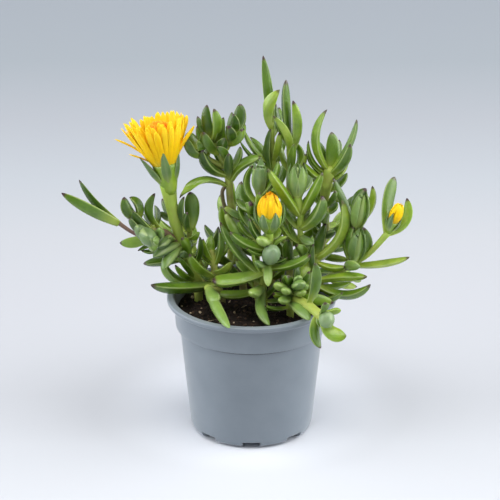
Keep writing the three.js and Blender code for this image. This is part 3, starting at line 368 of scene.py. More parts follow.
grit, tree, shader = material("peat_grains", Roughness=0.85, Specular_IOR_Level=0.3)
pale_mark = node(tree, "Attribute")
pale_mark.attribute_name = "pale"
grains = [(0.0, (0.010, 0.006, 0.004)), (0.3, (0.075, 0.042, 0.024)), (1.0, (0.42, 0.33, 0.22))]
put(ramp(pale_mark.outputs["Fac"], grains), shader.inputs["Base Color"])

grain_faces = (lump_faces[None] + LUMP_CORNERS * np.arange(GRAIN_COUNT)[:, None, None]).reshape(-1, 3)
pale = np.stack([pale, pale, pale, np.ones_like(pale)], -1)
loose = mesh_piece("peat_grains_loose", grain_points.reshape(-1, 3) * MM, [grain_faces], [grit], pale=pale)
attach(loose, "root")

# ---------------------------------------------------------------- the leafy shoots
# Fleshy stems rise from the soil and branch near the foot. They carry pairs of thick pointed leaves, flat on
# the face that looks at the stem and keeled on the back, and some end in a bud or a flower. Each shoot is one
# piece of its stems, leaves, closed buds and cups.

# Every stem with the same shoot's name belongs to that shoot. A stem has a path of points, its girth at each
# of them, and its bark, which is how brown it is at its foot and at its head. A leaf is where on the stem it
# grows, from 0 to 1; its tip, x, y and z; its width; how far its middle bows clockwise, seen from the front;
# and where along it is widest, 0.5 where it isn't given. Young leaves are small ones that stand between the
# others. A bud is where on the stem it grows; its tip, x, y and z; its width; its number of sepals, none for
# a round one; and how far its sepals' tips stand apart, or how waxy a round one is. Clasped leaves, still
# closed on each other, are bud rows too. All lengths are in millimetres.

STEMS = [
    dict(
        shoot="bloom_shoot", girth=(6, 6.6, 6.8, 7.2, 8.2, 11.5), bark=(0.25, 0.0),
        path=[(-33, 12, 81), (-34, 12, 92), (-40, 10, 111), (-45, 8, 125), (-49, 5, 145), (-51, 3, 160)],
        leaves=[
            (0.17, -55, 4, 111, 8, -5), (0.21, -47, -2, 109, 5, -1.5), (0.38, -67, 2, 108, 8, 1),
            (0.3, -32, 5, 125, 5, 1.5), (0.7, -56, 14, 138, 5, -1), (0.37, -28, 22, 114, 5, 1),
        ],
        young=[(0.2, -46, 4, 113, 4.5, 0.5), (0.38, -43, -2, 127, 6, 1.5), (0.38, -41, -5, 119, 4.5, -2)],
    ),
    dict(
        shoot="bloom_shoot", girth=(5, 4.6, 4.4, 3.8, 3), bark=(0.62, 0.78),
        path=[(-41, 10, 113), (-49, 6, 124), (-56, 1, 130), (-61, -5, 129), (-66, -8, 130)],
        leaves=[
            (0.46, -59, 4, 154, 5, -6), (0.66, -74, 0, 144, 7, -1.5), (0.96, -75, -2, 140, 5, -1),
            (0.77, -81, -3, 124, 6, -1.5), (0.39, -68, -3, 119, 4.5, -5), (0.76, -68, -22, 141, 9, -1.5, 0.6),
            (0.7, -62, -29, 138, 12, -1.5, 0.6), (0.77, -61, -25, 130, 7.5, 1.5, 0.6),
            (0.69, -55, -22, 140, 5.5, 1.5, 0.6), (0.78, -59, -30, 136, 5.5, 2, 0.6),
        ],
        young=[
            (0.06, -60, 5, 126, 6, -1), (0.2, -49, -3, 128, 4, -2), (0.12, -60, -12, 118, 8, 1),
            (0.08, -54, -14, 111, 7.5, 1.5), (0.3, -57, -10, 124, 7, -1), (0.27, -70, -4, 119, 4, 1),
        ],
    ),
    dict(
        shoot="bloom_shoot", girth=(2.8, 2.8, 3.2), bark=(0.55, 0.35),
        path=[(-57, 0, 130), (-64, 2, 133), (-70, 3, 137)],
        leaves=[(1.0, -78, 0, 153, 7, -2.5), (1.0, -75, 7, 150, 7, 2.5)],
        young=[(0.26, -60, 17, 141, 5.5, 1.5), (0.27, -67, 12, 137, 4, 0.5)],
    ),
    dict(
        shoot="bloom_shoot", girth=(3, 2.4, 3), bark=(0.95, 0.7),
        path=[(-66, -8, 130), (-73, -8, 133), (-81, -8, 139)],
        leaves=[(0.98, -115, -14, 161, 8, -0.5, 0.45), (1.0, -105, -2, 165, 5, -2.5, 0.4)],
    ),
    dict(
        shoot="bloom_shoot", girth=(3.6, 3.4, 3.2), bark=(0.55, 0.3),
        path=[(-41, 10, 113), (-39, 8, 121), (-38, 7, 129)],
        leaves=[
            (0.96, -38, 9, 153, 8, 1.5, 0.6), (0.92, -41, 1, 153, 5.5, -3), (0.62, -33, 0, 130, 5, 1),
            (0.88, -39, -5, 145, 4.5, -1.5),
        ],
    ),
    dict(
        shoot="low_left_shoot", girth=(4.6, 5, 5, 4.6, 4), bark=(0.5, 0.3),
        path=[(-18, 10, 81), (-20, 9, 87), (-23, 8, 95), (-23, 9, 102), (-25, 12, 112)],
        leaves=[
            (0.41, -62, 2, 94, 9.5, -1, 0.55), (0.58, -38, -6, 118, 7, -2), (0.79, -20, 15, 125, 6, 1.5),
            (0.85, -30, 14, 120, 5.5, -1), (0.94, -25, 19, 120, 5, -1), (0.91, -15, 17, 114, 5, 1),
            (0.68, -13, -3, 111, 6, 1.5, 0.7), (0.79, -33, 21, 112, 5, -1), (0.91, -18, 25, 115, 5, 1),
            (0.48, -32, 18, 96, 5, -1),
        ],
    ),
    dict(
        shoot="low_left_shoot", girth=(4.5, 4.4, 4.6), bark=(0.35, 0.1),
        path=[(-20, 9, 87), (-24, 1, 91), (-27, -6, 95)],
        leaves=[(1.0, -13, -58, 91, 6, 1.5, 0.4), (0.98, -21, -26, 95, 7.5, 1.5, 0.6)],
    ),
    dict(
        shoot="head_shoot", girth=(5.4, 5.4, 5, 5, 4.6, 4, 3.4), bark=(0.55, 0.25),
        path=[
            (-5, 24, 81), (-7, 23, 101), (-10, 20, 125), (-13, 16, 144), (-14, 13, 159), (-16, 11, 173),
            (-17, 10, 185),
        ],
        leaves=[
            (0.63, -44, 0, 152, 5.5, 8, 0.45), (0.71, -30, 4, 183, 8.5, -3.5), (0.94, -17, 16, 199, 4, -1.5),
            (0.9, -16, 0, 191, 6, -1.5), (0.84, -21, -1, 186, 5.5, 1.5), (0.67, -14, 1, 181, 5.5, 0),
            (0.66, 6, 11, 175, 7.5, -4, 0.55), (0.72, -7, 16, 180, 6, 1.5), (0.76, -22, 24, 181, 5.5, -1.5),
            (0.67, -12, 35, 159, 6, 1.5), (0.75, -16, 34, 178, 5.5, -2),
        ],
        young=[(0.06, -12, 14, 102, 6, -1), (0.07, -28, 34, 97, 4.5, -2), (0.96, -12, 20, 201, 5, 1)],
    ),
    dict(
        shoot="head_shoot", girth=(3.8, 3.4, 3.2), bark=(0.3, 0.1),
        path=[(-17, 11, 171), (-21, 10, 180), (-24, 9, 187)],
        leaves=[
            (0.4, -33, 15, 194, 6, -3), (0.35, -29, 0, 195, 7, -2), (0.85, -27, 13, 208, 6, -2),
            (0.95, -23, 2, 209, 7.4, 1.5, 0.55), (0.7, -33, 18, 199, 4.5, -1.5), (0.85, -20, 6, 202, 6, 1),
        ],
    ),
    dict(
        shoot="head_shoot", girth=(3.8, 3.4, 3.2), bark=(0.3, 0.1),
        path=[(-17, 10, 178), (-13, 9, 185), (-11, 9, 191)],
        leaves=[
            (0.5, -14, -3, 200, 6.8, 1.5, 0.6), (0.9, -11, 8, 204, 6, 1.5, 0.55),
            (0.95, -7, 15, 208, 6.6, 1.5, 0.55), (0.8, -5, 23, 202, 4.5, 2), (0.4, -6, 0, 197, 6, 2),
            (0.45, -4, 27, 191, 4, 2),
        ],
    ),
    dict(
        shoot="head_shoot", girth=(4, 3.6, 3.2), bark=(0.25, 0.1),
        path=[(-17, 12, 168), (-27, 9, 175), (-33, 8, 181)],
        leaves=[
            (0.6, -40, 3, 190, 7, -2.5), (0.95, -38, 10, 192, 7.4, -1.5), (0.95, -33, 2, 188, 6.5, 1.5),
            (0.5, -30, 18, 187, 5.5, 1),
        ],
    ),
    dict(
        shoot="head_shoot", girth=(2.6, 2.6, 2.6, 2.6), bark=(0.6, 0.55),
        path=[(-14, 13, 157), (-18, 14, 151), (-16, 17, 138), (-11, 20, 125)],
        leaves=[],
        young=[(0.61, -3, 11, 135, 5, 1), (0.73, -5, 8, 123, 6, 1)],
    ),
    dict(
        shoot="closed_bud_shoot", girth=(4.6, 4.6, 4.6, 4.6, 5), bark=(0.4, 0.1),
        path=[(4, 12, 81), (3, 10, 106), (3, 6, 129), (4, 3, 147), (5, 2, 154)],
        leaves=[
            (0.74, 1, 7, 171, 5.5, -5), (0.67, -9, 10, 148, 7, -1.5), (0.62, 0, -10, 153, 7, -1.5, 0.7),
            (0.73, 10, 7, 168, 5, 1.5), (0.48, -8, 8, 145, 6, -1), (0.42, -8, 5, 136, 5, -1.5),
            (0.53, 12, 20, 138, 5.5, 1.5), (0.45, -3, 25, 128, 5.5, -1.5),
        ],
        young=[(0.05, -6, 15, 105, 6, -1), (0.94, 16, 1, 176, 6.5, 2)],
        buds=[(1.0, 6, 1, 178.5, 8, 3, 0.03)],
    ),
    dict(
        shoot="tallest_shoot", girth=(5, 5, 4.8, 4.2, 3.4), bark=(0.5, 0.2),
        path=[(13, 26, 81), (13, 26, 99), (14, 24, 128), (14, 20, 157), (12, 15, 195)],
        leaves=[
            (0.99, 7, 17, 238, 5.4, 0.5, 0.4), (0.98, 17, 9, 219, 6.6, -4.5, 0.5),
            (0.74, 12, 14, 193, 5.5, -2.5), (0.81, -5, 17, 192, 4.5, -2.5, 0.4),
            (0.79, -7, 15, 184, 3.5, -2, 0.4), (0.79, 9, 17, 183, 4.5, -1.5, 0.4),
            (0.69, 20, 31, 164, 5.5, 1.5), (0.64, 7, 36, 153, 5.5, -1.5), (0.54, 24, 39, 139, 5.5, 1.5),
            (0.53, 4, 44, 134, 5.5, -1.5),
        ],
        young=[
            (0.1, 21, 23, 96, 5.5, -0.5), (0.78, -1, 25, 183, 5, 2), (0.8, 22, 32, 185, 4, 0.5),
            (0.84, 17, 11, 191, 5.5, 0.5), (0.94, 17, 32, 200, 5, 1),
        ],
    ),
    dict(
        shoot="tall_shoot", girth=(5, 5, 5, 5.2, 5), bark=(0.5, 0.2),
        path=[(24, 18, 81), (24, 19, 102), (23, 18, 131), (24, 17, 158), (24, 16, 178)],
        leaves=[
            (0.98, 21, 16, 223, 7, -0.5, 0.6), (0.98, 25, 12, 211, 7.5, 2.5), (0.96, 13, 4, 204, 5.5, 3),
            (1.0, 15, 24, 205, 4.5, -2), (0.8, 18, 23, 179, 5, -1.5), (0.77, 27, 21, 181, 6, 4.5),
            (0.76, 33, 17, 175, 4.5, 1.5), (0.65, 34, 33, 152, 6, 1.5), (0.61, 17, 34, 148, 5.5, -1.5),
            (0.75, 30, 35, 164, 5.5, 1.5),
        ],
        young=[
            (0.21, 23, 8, 122, 6, -1), (0.39, 16, 6, 140, 6.5, 0), (0.64, 1, 13, 157, 4.5, 0.5),
            (0.77, 26, 7, 185, 4.5, -0.5),
        ],
    ),
    dict(
        shoot="big_bud_shoot", girth=(4.4, 4, 3.8, 4.6, 6), bark=(0.3, 0.0),
        path=[(32, 4, 81), (32, 2, 109), (30, 0, 130), (30, -1, 143), (28, -2, 154)],
        leaves=[
            (0.71, 10, -7, 174, 8.8, 0.5, 0.4), (0.73, 43, -5, 171, 8, -0.5, 0.4),
            (0.54, 43, -6, 156, 10.5, 2.5, 0.5), (0.53, 20, 8, 148, 7, -1.5), (0.46, 38, -12, 127, 5.5, 1),
            (0.38, 23, 7, 134, 3.5, -1, 0.4), (0.38, 18, 5, 135, 3.5, -1.5, 0.4), (0.61, 33, 13, 148, 6, 1.5),
        ],
        young=[(0.29, 27, -9, 125, 6, 2)],
        buds=[(1.0, 28, -2, 175.5, 12.5, 5, 0.34), (1.0, 28, -2, 175, 9, 5, 0.2)],
    ),
    dict(
        shoot="upper_right_shoot", girth=(4.6, 4.4, 4.4, 5.2, 7.4, 7), bark=(0.55, 0.15),
        path=[(33, 18, 81), (39, 18, 101), (46, 16, 124), (45, 15, 142), (46, 13, 155), (48, 12, 166)],
        leaves=[
            (0.97, 46, 10, 206, 7, -6.5, 0.45), (0.97, 64, 12, 199, 5.5, 2.5), (0.97, 49, 20, 188, 7.5, 1.5),
            (1.0, 54, 26, 181, 4.5, 1.5), (0.93, 60, 4, 186, 7.5, 2), (0.83, 59, 15, 172, 5.5, 1.5),
            (0.73, 59, 18, 162, 6, 1.5), (0.93, 35, 16, 184, 3.5, -3.5), (0.9, 34, 20, 176, 5, -1.5),
            (0.81, 39, 19, 166, 4.5, -1), (0.65, 55, 9, 140, 3.5, -5, 0.4), (0.53, 53, 21, 142, 6, 1),
            (0.59, 38, 29, 147, 5.5, -1), (0.43, 53, 36, 123, 5.5, 1.5), (0.38, 39, 12, 130, 5.5, -1),
        ],
        young=[
            (0.26, 60, 4, 110, 6, -0.5), (0.36, 51, 3, 129, 5, 0), (0.46, 47, 2, 142, 6, -2),
            (0.56, 39, 27, 161, 6, 0.5), (0.59, 51, 0, 157, 5, 1.5), (0.85, 32, 12, 171, 5.5, -1),
            (0.87, 40, 22, 182, 6.5, 1.5),
        ],
    ),
    dict(
        shoot="right_shoot", girth=(4.2, 4, 4, 4, 4, 4.6), bark=(0.45, 0.1),
        path=[(37, 8, 81), (43, 8, 93), (54, 4, 102), (63, 0, 110), (63, 0, 123), (65, 0, 137)],
        leaves=[
            (0.99, 70, -4, 160, 8, -3), (0.97, 74, 6, 158, 6, 3.5), (0.62, 63, -5, 136, 7, -2),
            (0.62, 68, -5, 135, 7.5, 4.5), (0.57, 58, 4, 132, 5, -1.5, 0.4), (0.72, 50, 2, 165, 6, 2, 0.45),
            (0.55, 97, -9, 117, 6, 1.5), (0.96, 68, 16, 141, 5.5, 1), (0.77, 71, 18, 120, 6, 1.5),
            (0.47, 69, 18, 90, 5.5, 1.5),
        ],
        young=[(0.29, 66, 8, 90, 6.5, 1), (0.49, 66, -22, 116, 6, -2), (0.77, 68, 16, 135, 5, 0.5)],
        clasped=[(0.62, 67, -10, 136.5, 10.5, 2, 0.08), (0.95, 69, -7, 159.5, 10.5, 2, 0.1)],
    ),
    dict(
        shoot="right_shoot", girth=(3.6, 3.6, 4.4), bark=(0.3, 0.05),
        path=[(63, 0, 109), (72, -4, 117), (83, -10, 133)],
        leaves=[(0.98, 88, -5, 168.5, 8.2, -2, 0.7), (0.96, 95, -4, 154, 6, 6)],
    ),
    dict(
        shoot="low_right_shoot", girth=(4.6, 4.6, 4.6, 4.2), bark=(0.4, 0.2),
        path=[(37, -2, 81), (39, -2, 93), (40, -2, 104), (40, -1, 114)],
        leaves=[
            (0.97, 55, -5, 153, 8.5, 7), (0.89, 58, -7, 110, 6, 1.5), (0.51, 71, -14, 106, 7.5, -2, 0.6),
            (0.43, 73, -16, 102, 7.5, 6.5, 0.55), (0.39, 62, 2, 96, 5, 1.5), (0.89, 35, 3, 126, 5, -1),
            (0.62, 38, -12, 127, 4.5, -2, 0.4), (0.97, 49, 13, 113, 5.5, 1), (0.39, 52, 2, 92, 5.5, 1),
        ],
        young=[(0.1, 56, -17, 97, 5, 1.5), (0.11, 38, 17, 97, 4.5, -2), (0.85, 46, 9, 132, 6, -1.5)],
    ),
    dict(
        shoot="front_bud_shoot", girth=(5.2, 5, 5, 4.8, 5.0, 5.2), bark=(0.3, 0.0),
        path=[(8, -2, 81), (7, -6, 95), (8, -10, 107), (11, -12, 119), (11, -13, 129), (11, -14, 136)],
        leaves=[
            (0.78, 6, -25, 135, 7, -1, 0.7), (0.53, 10, -27, 105, 5, 0), (0.46, 36, -17, 122, 7.5, 2, 0.6),
            (0.52, 22, -17, 120, 3, 1), (0.69, -13, -17, 137, 8.5, -2), (0.62, -3, -18, 127, 4.5, -1),
            (0.36, -19, -13, 142, 7, -3, 0.45), (0.42, -24, -17, 105, 10, -1.5, 0.75),
            (0.19, -21, -4, 91, 7, -2, 0.7), (0.22, 1, -26, 100, 7, -1.5, 0.7), (0.2, 11, -36, 83, 6, 3.5),
            (0.5, 3, -25, 120, 5, -1, 0.6), (0.82, 17, -3, 134, 5, 1), (0.57, 6, 0, 121, 5.5, -1),
        ],
        young=[
            (0.06, 23, -13, 93, 4.5, 1.5), (0.08, 18, -6, 101, 5.5, 0), (0.26, -10, -4, 112, 6.5, 0.5),
            (0.36, 2, -13, 124, 5.5, -1), (0.68, 22, -15, 133, 4, -2), (0.71, -1, -13, 144, 6, -1.5),
            (0.9, -1, -6, 144, 4, 0.5), (0.96, 5, -7, 159, 6.5, -2),
        ],
        buds=[(0.55, 13.5, -26, 129, 9.8, 0)],
    ),
    dict(
        shoot="rim_shoot", girth=(5, 6, 6.4, 6.8, 6, 5), bark=(0.15, 0.25),
        path=[(24, -12, 81), (24, -15, 90), (28, -23, 94), (34, -33, 95), (40, -45, 95), (43, -49, 93)],
        leaves=[
            (0.8, 42, -52, 75, 7.2, 3), (0.94, 57, -56, 85, 8, 4, 0.6), (0.88, 54, -45, 97, 5, 0, 0.7),
            (0.88, 44, -55, 106, 5, 1, 0.7), (0.62, 38, -40, 126, 6, 2.5, 0.45),
            (0.2, 35, -46, 91, 7.5, -1.5), (0.81, 43, -50, 88, 5, 0.5),
        ],
        young=[(0.09, 8, -26, 92, 4, -1.5), (0.28, 50, -27, 94, 6, -1.5)],
        buds=[(0.97, 48, -55, 94, 9, 0, 0.8)],
    ),
    dict(
        shoot="rim_shoot", girth=(4.4, 4, 3.6), bark=(0.3, 0.2),
        path=[(24, -15, 90), (25, -15, 96), (25, -14, 100)],
        leaves=[
            (0.81, 15, -28, 107, 6, -1.5, 0.7), (0.58, 21, -35, 106, 5.5, -1.5, 0.7),
            (0.4, 18, -31, 97, 6, -1, 0.7), (0.98, 29, -32, 109, 7.5, 1.5, 0.7),
            (0.52, 13, -21, 98, 5, -1, 0.7), (1.0, 23, -24, 111, 5.5, -1, 0.7),
            (0.98, 28, -28, 112, 5, 1.5, 0.7), (0.9, 35, -22, 113, 5.5, 1.5, 0.6),
            (0.9, 20, -18, 109, 5, -1, 0.6), (0.98, 34, -26, 105, 5.5, 1, 0.7), (0.9, 27, -12, 115, 5.5, 1),
            (0.67, 31, -31, 103, 5.5, 1.5, 0.7),
        ],
        young=[(0.4, 38, -1, 112, 6.5, -1.5)],
    ),
]
BACK_SHOOTS = [  # the foot on the soil, the head, the pairs of leaves between them, and the first pair's turn
    {"shoot": "back_left_shoot", "foot": (-28, 25), "head": (-48, 42, 124), "pairs": 5, "spin": 80},
    {"shoot": "back_middle_shoot", "foot": (-14, 35), "head": (-11, 56, 129), "pairs": 5, "spin": 60},
    {"shoot": "back_centre_shoot", "foot": (3, 38), "head": (6, 56, 148), "pairs": 6, "spin": 70},
    {"shoot": "back_right_shoot", "foot": (18, 34), "head": (32, 58, 138), "pairs": 5, "spin": 50},
    {"shoot": "back_outer_shoot", "foot": (28, 26), "head": (62, 38, 126), "pairs": 5, "spin": 10},
]
BACK_LEAF = {"length": (27.0, 16.0), "width": (7.5, 6.0), "at": (0.26, 0.97), "lift": (24.0, 70.0)}
BACK_BOW = {"out": 0.5, "lift": 0.6, "up": 0.12}  # a back leaf's control point, by its length and lift
BACK_FOOT, BACK_LEAN, BACK_GIRTH, BACK_BARK, BACK_BELLY = 82.0, 0.35, (4.6, 4.4, 3.6), (0.4, 0.0), 0.55
ROOT_OFFSET = 0.25  # of a leaf, from the axis of its stem, as a share of the stem's girth
HEART = 0.6  # of a leaf's length up its stem: the point that its flat face looks at
BLADE = ("root", "control", "tip", "width", "belly", "heart")


def unit(v):
    """Vectors, each divided by its own length."""
    return v / np.linalg.norm(v, axis=-1, keepdims=True)


def along_path(path, t):
    """Points and directions at t, from 0 to 1, on the smooth curve through a path's points. Between two
    points P1 and P2 it is the cubic that leaves P1 along (P2 - P0) / 2 and reaches P2 along (P3 - P1) / 2;
    past the ends the neighbours are mirrored."""
    p = np.array(path, float)
    p = np.concatenate([[2 * p[0] - p[1]], p, [2 * p[-1] - p[-2]]])
    place = np.atleast_1d(t) * (len(path) - 1)
    span = np.minimum(np.floor(place).astype(int), len(path) - 2)
    w = (place - span)[:, None]
    p0, p1, p2, p3 = (p[span + k] for k in range(4))
    leave, arrive = (p2 - p0) / 2, (p3 - p1) / 2
    square, cube = 3 * (p2 - p1) - 2 * leave - arrive, 2 * (p1 - p2) + leave + arrive
    return p1 + leave * w + square * w**2 + cube * w**3, unit(leave + 2 * square * w + 3 * cube * w**2)


def girth_at(stem, t):
    """Girth at t, from the girths at a path's evenly counted points."""
    return np.interp(t, np.linspace(0, 1, len(stem["girth"])), stem["girth"])


def blades_of(rows):
    """Rows of a blade's root, control point, tip, width, belly and heart as one array for each of them."""
    return {key: np.array(values, float) for key, values in zip(BLADE, zip(*rows))}


def front_leaves(stem, kind="leaves"):
    """The leaves of a listed stem: the root a little out from the axis towards the tip, and a control point
    that bows the middle clockwise, seen from the front."""
    for at, x, y, z, width, bow, *belly in stem.get(kind, ()):
        axis, heading = (v[0] for v in along_path(stem["path"], at))
        tip = np.array([x, y, z], float)
        root = axis + unit(tip - axis) * ROOT_OFFSET * girth_at(stem, at)
        chord = tip - root
        control = (root + tip) / 2 + 2 * bow * unit(np.array([chord[2], 0.0, -chord[0]]))
        heart = root + heading * HEART * np.linalg.norm(chord)
        yield root, control, tip, width, belly[0] if belly else 0.5, heart


def back_leaves(stem):
    """Opposite pairs of leaves up a stem, each pair a quarter turn from the last, shorter and steeper."""
    for pair in range(stem["pairs"]):
        share = pair / (stem["pairs"] - 1)
        length, width, at, lift = (np.interp(share, (0, 1), ends) for ends in BACK_LEAF.values())
        root, axis = (v[0] for v in along_path(stem["path"], at))
        lift = np.radians(lift)
        for turn in (0, 180):
            heading = np.radians(stem["spin"] + 90 * pair + turn)
            level = np.array([np.cos(heading), np.sin(heading), 0.0])
            out = unit(level - axis * level.dot(axis))
            aside = out * length * BACK_BOW["out"] * np.cos(lift * BACK_BOW["lift"])
            control = root + aside + axis * length * BACK_BOW["up"]
            tip = root + out * length * np.cos(lift) + axis * length * np.sin(lift)
            yield root, control, tip, width, BACK_BELLY, root + axis * length * HEART


grown = [(stem["shoot"], leaf) for stem in STEMS for leaf in front_leaves(stem)]
young = [(stem["shoot"], leaf) for stem in STEMS for leaf in front_leaves(stem, "young")]
for row in BACK_SHOOTS:
    low, high = np.array([*row["foot"], BACK_FOOT]), np.array(row["head"], float)
    middle = low + BACK_LEAN * (high - low)
    middle[2] = (low[2] + high[2]) / 2
    stem = dict(row, path=[low, middle, high], girth=BACK_GIRTH, bark=BACK_BARK, leaves=[])
    STEMS.append(stem)
    grown += [(stem["shoot"], leaf) for leaf in back_leaves(stem)]
leaf_shoot, leaves = np.array([shoot for shoot, _ in grown]), blades_of([leaf for _, leaf in grown])

# The open flower and the two buds that show their petals each sit on the end of a stem, in a fleshy cup that
# the stem swells into, with unequal sepals. Heights are along the flower's axis from its base, radii from
# that axis, and turns in degrees from +X. A cup is (radius, height) rings. A sepal is its turn, its tip's
# radius and height, and its width. Room is how far the petals reach at a height.

FLOWERS = {
    "bloom": {
        "shoot": "bloom_shoot",
        "base": (-51, 3, 163),
        "axis": (-0.174, 0.1, 0.98),
        "cup": [(3.2, -9), (4.4, -6.5), (5.1, -4), (5.7, -1.5), (6.4, 1.5), (7.2, 5), (7.9, 8), (8.0, 10)],
        "sepal": {"root": (4.4, -1), "bend": (8.0, 8)},
        "sepals": [
            (-158, 15.4, 18.5, 9.0), (-86, 13.4, 22.5, 6.0), (-18, 10.6, 19, 6.4),
            (58, 13.5, 17, 7.0), (122, 13.5, 18, 7.0),
        ],
        "room": [(9, 12), (12, 20), (16, 28), (19, 36)],
    },
    "front_bud": {
        "shoot": "front_bud_shoot",
        "base": (11, -14, 136),
        "axis": (0, -0.03, 1),
        "cup": [(2.0, -1.5), (3.6, 0.2), (5.6, 2.2), (6.9, 5), (7.4, 7.4), (7.5, 9.4)],
        "sepal": {"root": (3.8, 1.5), "bend": (9.6, 8)},
        "sepals": [
            (172, 8.8, 20, 6.6), (8, 8.4, 18.5, 6.6), (-122, 6.9, 14.5, 6.6),
            (-62, 7.2, 15, 6.6), (90, 7.6, 18, 6.6),
        ],
        "room": [(5, 9), (6, 14), (6, 19), (4, 24)],
    },
    "outer_bud": {
        "shoot": "right_shoot",
        "base": (83.4, -10, 134),
        "axis": (0.376, 0, 0.926),
        "cup": [(1.8, -1), (2.2, 1.4), (2.7, 3.6), (3.1, 5.8), (3.2, 7)],
        "sepal": {"root": (2, 1.5), "bend": (4.4, 6.5)},
        "sepals": [(-125, 4.6, 14, 4.4), (-10, 4.0, 11, 4.4), (80, 4.2, 12, 4.4), (165, 4.2, 13.5, 4.4)],
        "room": [(3.4, 6), (3.6, 10), (3, 14)],
    },
}


def square_to(axis):
    """Two directions square to an axis and to each other: X less its share along the axis, and the cross
    product."""
    across = unit(np.array([1.0, 0.0, 0.0]) - axis * axis[0])
    return across, np.cross(axis, across)


def about_axis(flower, radius, turn, height):
    """Points about a flower's axis by radius, turn in degrees and height: base + height * along + radius *
    (cos(turn) * across + sin(turn) * beyond)."""
    along = unit(np.array(flower["axis"], float))
    across, beyond = square_to(along)
    angle = np.radians(turn)
    out = np.multiply.outer(np.cos(angle), across) + np.multiply.outer(np.sin(angle), beyond)
    radius, height = np.asarray(radius, float)[..., None], np.asarray(height, float)[..., None]
    return np.array(flower["base"], float) + height * along + radius * out


# In the clump the leaves of neighbouring shoots bend clear of each other, to the front or to the back. Each
# leaf is a string of balls that follow its tip in proportion to how far along it they are; stems, buds and
# petals are balls that stay. A leaf takes half of what it lacks from another leaf, and all that it lacks from
# a stem, over many small rounds. Its tip ends no further off than the most given.

EASING = {"rounds": 60, "gap": 0.8, "rate": 0.4, "back": np.array([0.0, 0.927, -0.375]), "most": 15.0}
LEAF_BEADS = np.array([0.2, 0.34, 0.48, 0.62, 0.76, 0.9, 1.0])
BEAD_TAPER, LEAST_BEAD, LEAST_FOLLOW = (0.4, 2.4, 0.75), 0.2, 0.3
STEM_BALLS, BUD_BALLS = 17, np.array([[0.25], [0.5], [0.75]])


def tapered(t, belly, foot, bluntness, power):
    """Half width along a blade as a share of its greatest: foot + (1 - foot) sin up to the belly, and past it
    (1 - past^bluntness)^power down to the tip."""
    rising = foot + (1 - foot) * np.sin(np.pi / 2 * np.minimum(t / belly, 1))
    past = np.clip((t - belly) / (1 - belly), 0, 1)
    return np.where(t < belly, rising, (1 - past**bluntness) ** power)


def curve_points(blades, t):
    """Points at t on every blade's curve (1-t)^2 root + 2t(1-t) control + t^2 tip, and the unit directions
    there."""
    t = t[None, :, None]
    root, control, tip = (blades[key][:, None] for key in ("root", "control", "tip"))
    place = (1 - t) ** 2 * root + 2 * t * (1 - t) * control + t**2 * tip
    return place, unit((1 - t) * (control - root) + t * (tip - control))


still_place, still_radius, still_shoot = [], [], []
for stem in STEMS:
    place, _ = along_path(stem["path"], np.linspace(0, 1, STEM_BALLS))
    still_place.append(place)
    still_radius.append(np.full(len(place), max(stem["girth"]) / 2))
    still_shoot += [stem["shoot"]] * len(place)
    for at, x, y, z, width, *_ in stem.get("buds", []):
        root = along_path(stem["path"], at)[0]
        tip = np.array([x, y, z], float)
        still_place.append(root + BUD_BALLS * (tip - root))
        still_radius.append(np.full(len(BUD_BALLS), width / 2))
        still_shoot += [stem["shoot"]] * len(BUD_BALLS)
for flower in FLOWERS.values():
    room = np.array(flower["room"], float)
    still_place.append(about_axis(flower, 0 * room[:, 0], 0.0, room[:, 1]))
    still_radius.append(room[:, 0])
    still_shoot += ["petals"] * len(room)
still_place, still_radius = np.concatenate(still_place), np.concatenate(still_radius)
bead_share = np.maximum(tapered(LEAF_BEADS, leaves["belly"][:, None], *BEAD_TAPER), LEAST_BEAD)
bead_radius = (leaves["width"][:, None] / 2 * bead_share).ravel()
bead_shoot = np.repeat(leaf_shoot, len(LEAF_BEADS))
apart = bead_shoot[:, None] != np.concatenate([bead_shoot, np.array(still_shoot)])[None]
reach = bead_radius[:, None] + np.concatenate([bead_radius, still_radius])[None] + EASING["gap"]
share = np.concatenate([np.full(len(bead_radius), 0.5), np.ones(len(still_radius))])
follow = np.maximum(np.tile(LEAF_BEADS, len(leaf_shoot)), LEAST_FOLLOW)
placed = leaves["tip"].copy()
for _ in range(EASING["rounds"]):
    beads = curve_points(leaves, LEAF_BEADS)[0].reshape(-1, 3)
    others = np.concatenate([beads, still_place])
    near_one, near_two = np.nonzero(apart & (np.abs(beads[:, None, 0] - others[None, :, 0]) < reach))
    gap, far = beads[near_one] - others[near_two], reach[near_one, near_two]
    along = gap @ EASING["back"]
    beside = (gap**2).sum(1) - along**2
    short = np.sqrt(np.maximum(far**2 - beside, 0)) - np.abs(along)
    short = np.where((beside < far**2) & (short > 0), short, 0) * np.where(along < 0, -1, 1)
    step = short * share[near_two] / follow[near_one]
    push = np.zeros((2, len(beads)))
    for way, sign in zip(push, (1, -1)):
        np.maximum.at(way, near_one, sign * step)
    to_back, to_front = push.reshape(2, -1, len(LEAF_BEADS)).max(2)
    shift = EASING["rate"] * (to_back - to_front)[:, None] * EASING["back"]
    leaves["tip"] += shift
    leaves["control"] += shift / 2
moved = leaves["tip"] - placed
length = np.linalg.norm(moved, axis=1, keepdims=True)
excess = 1 - np.minimum(1, EASING["most"] / np.maximum(length, EASING["most"] / 2))
leaves["tip"] -= excess * moved
leaves["control"] -= excess * moved / 2

# Young leaves come after the easing: they are small enough to stand between the others.

leaf_shoot = np.concatenate([leaf_shoot, [shoot for shoot, _ in young]])
young = blades_of([leaf for _, leaf in young])
leaves = {key: np.concatenate([leaves[key], more]) for key, more in young.items()}

# Every leaf and sepal is a blade, and so is every petal: a tube round its curve with a pole at either end.

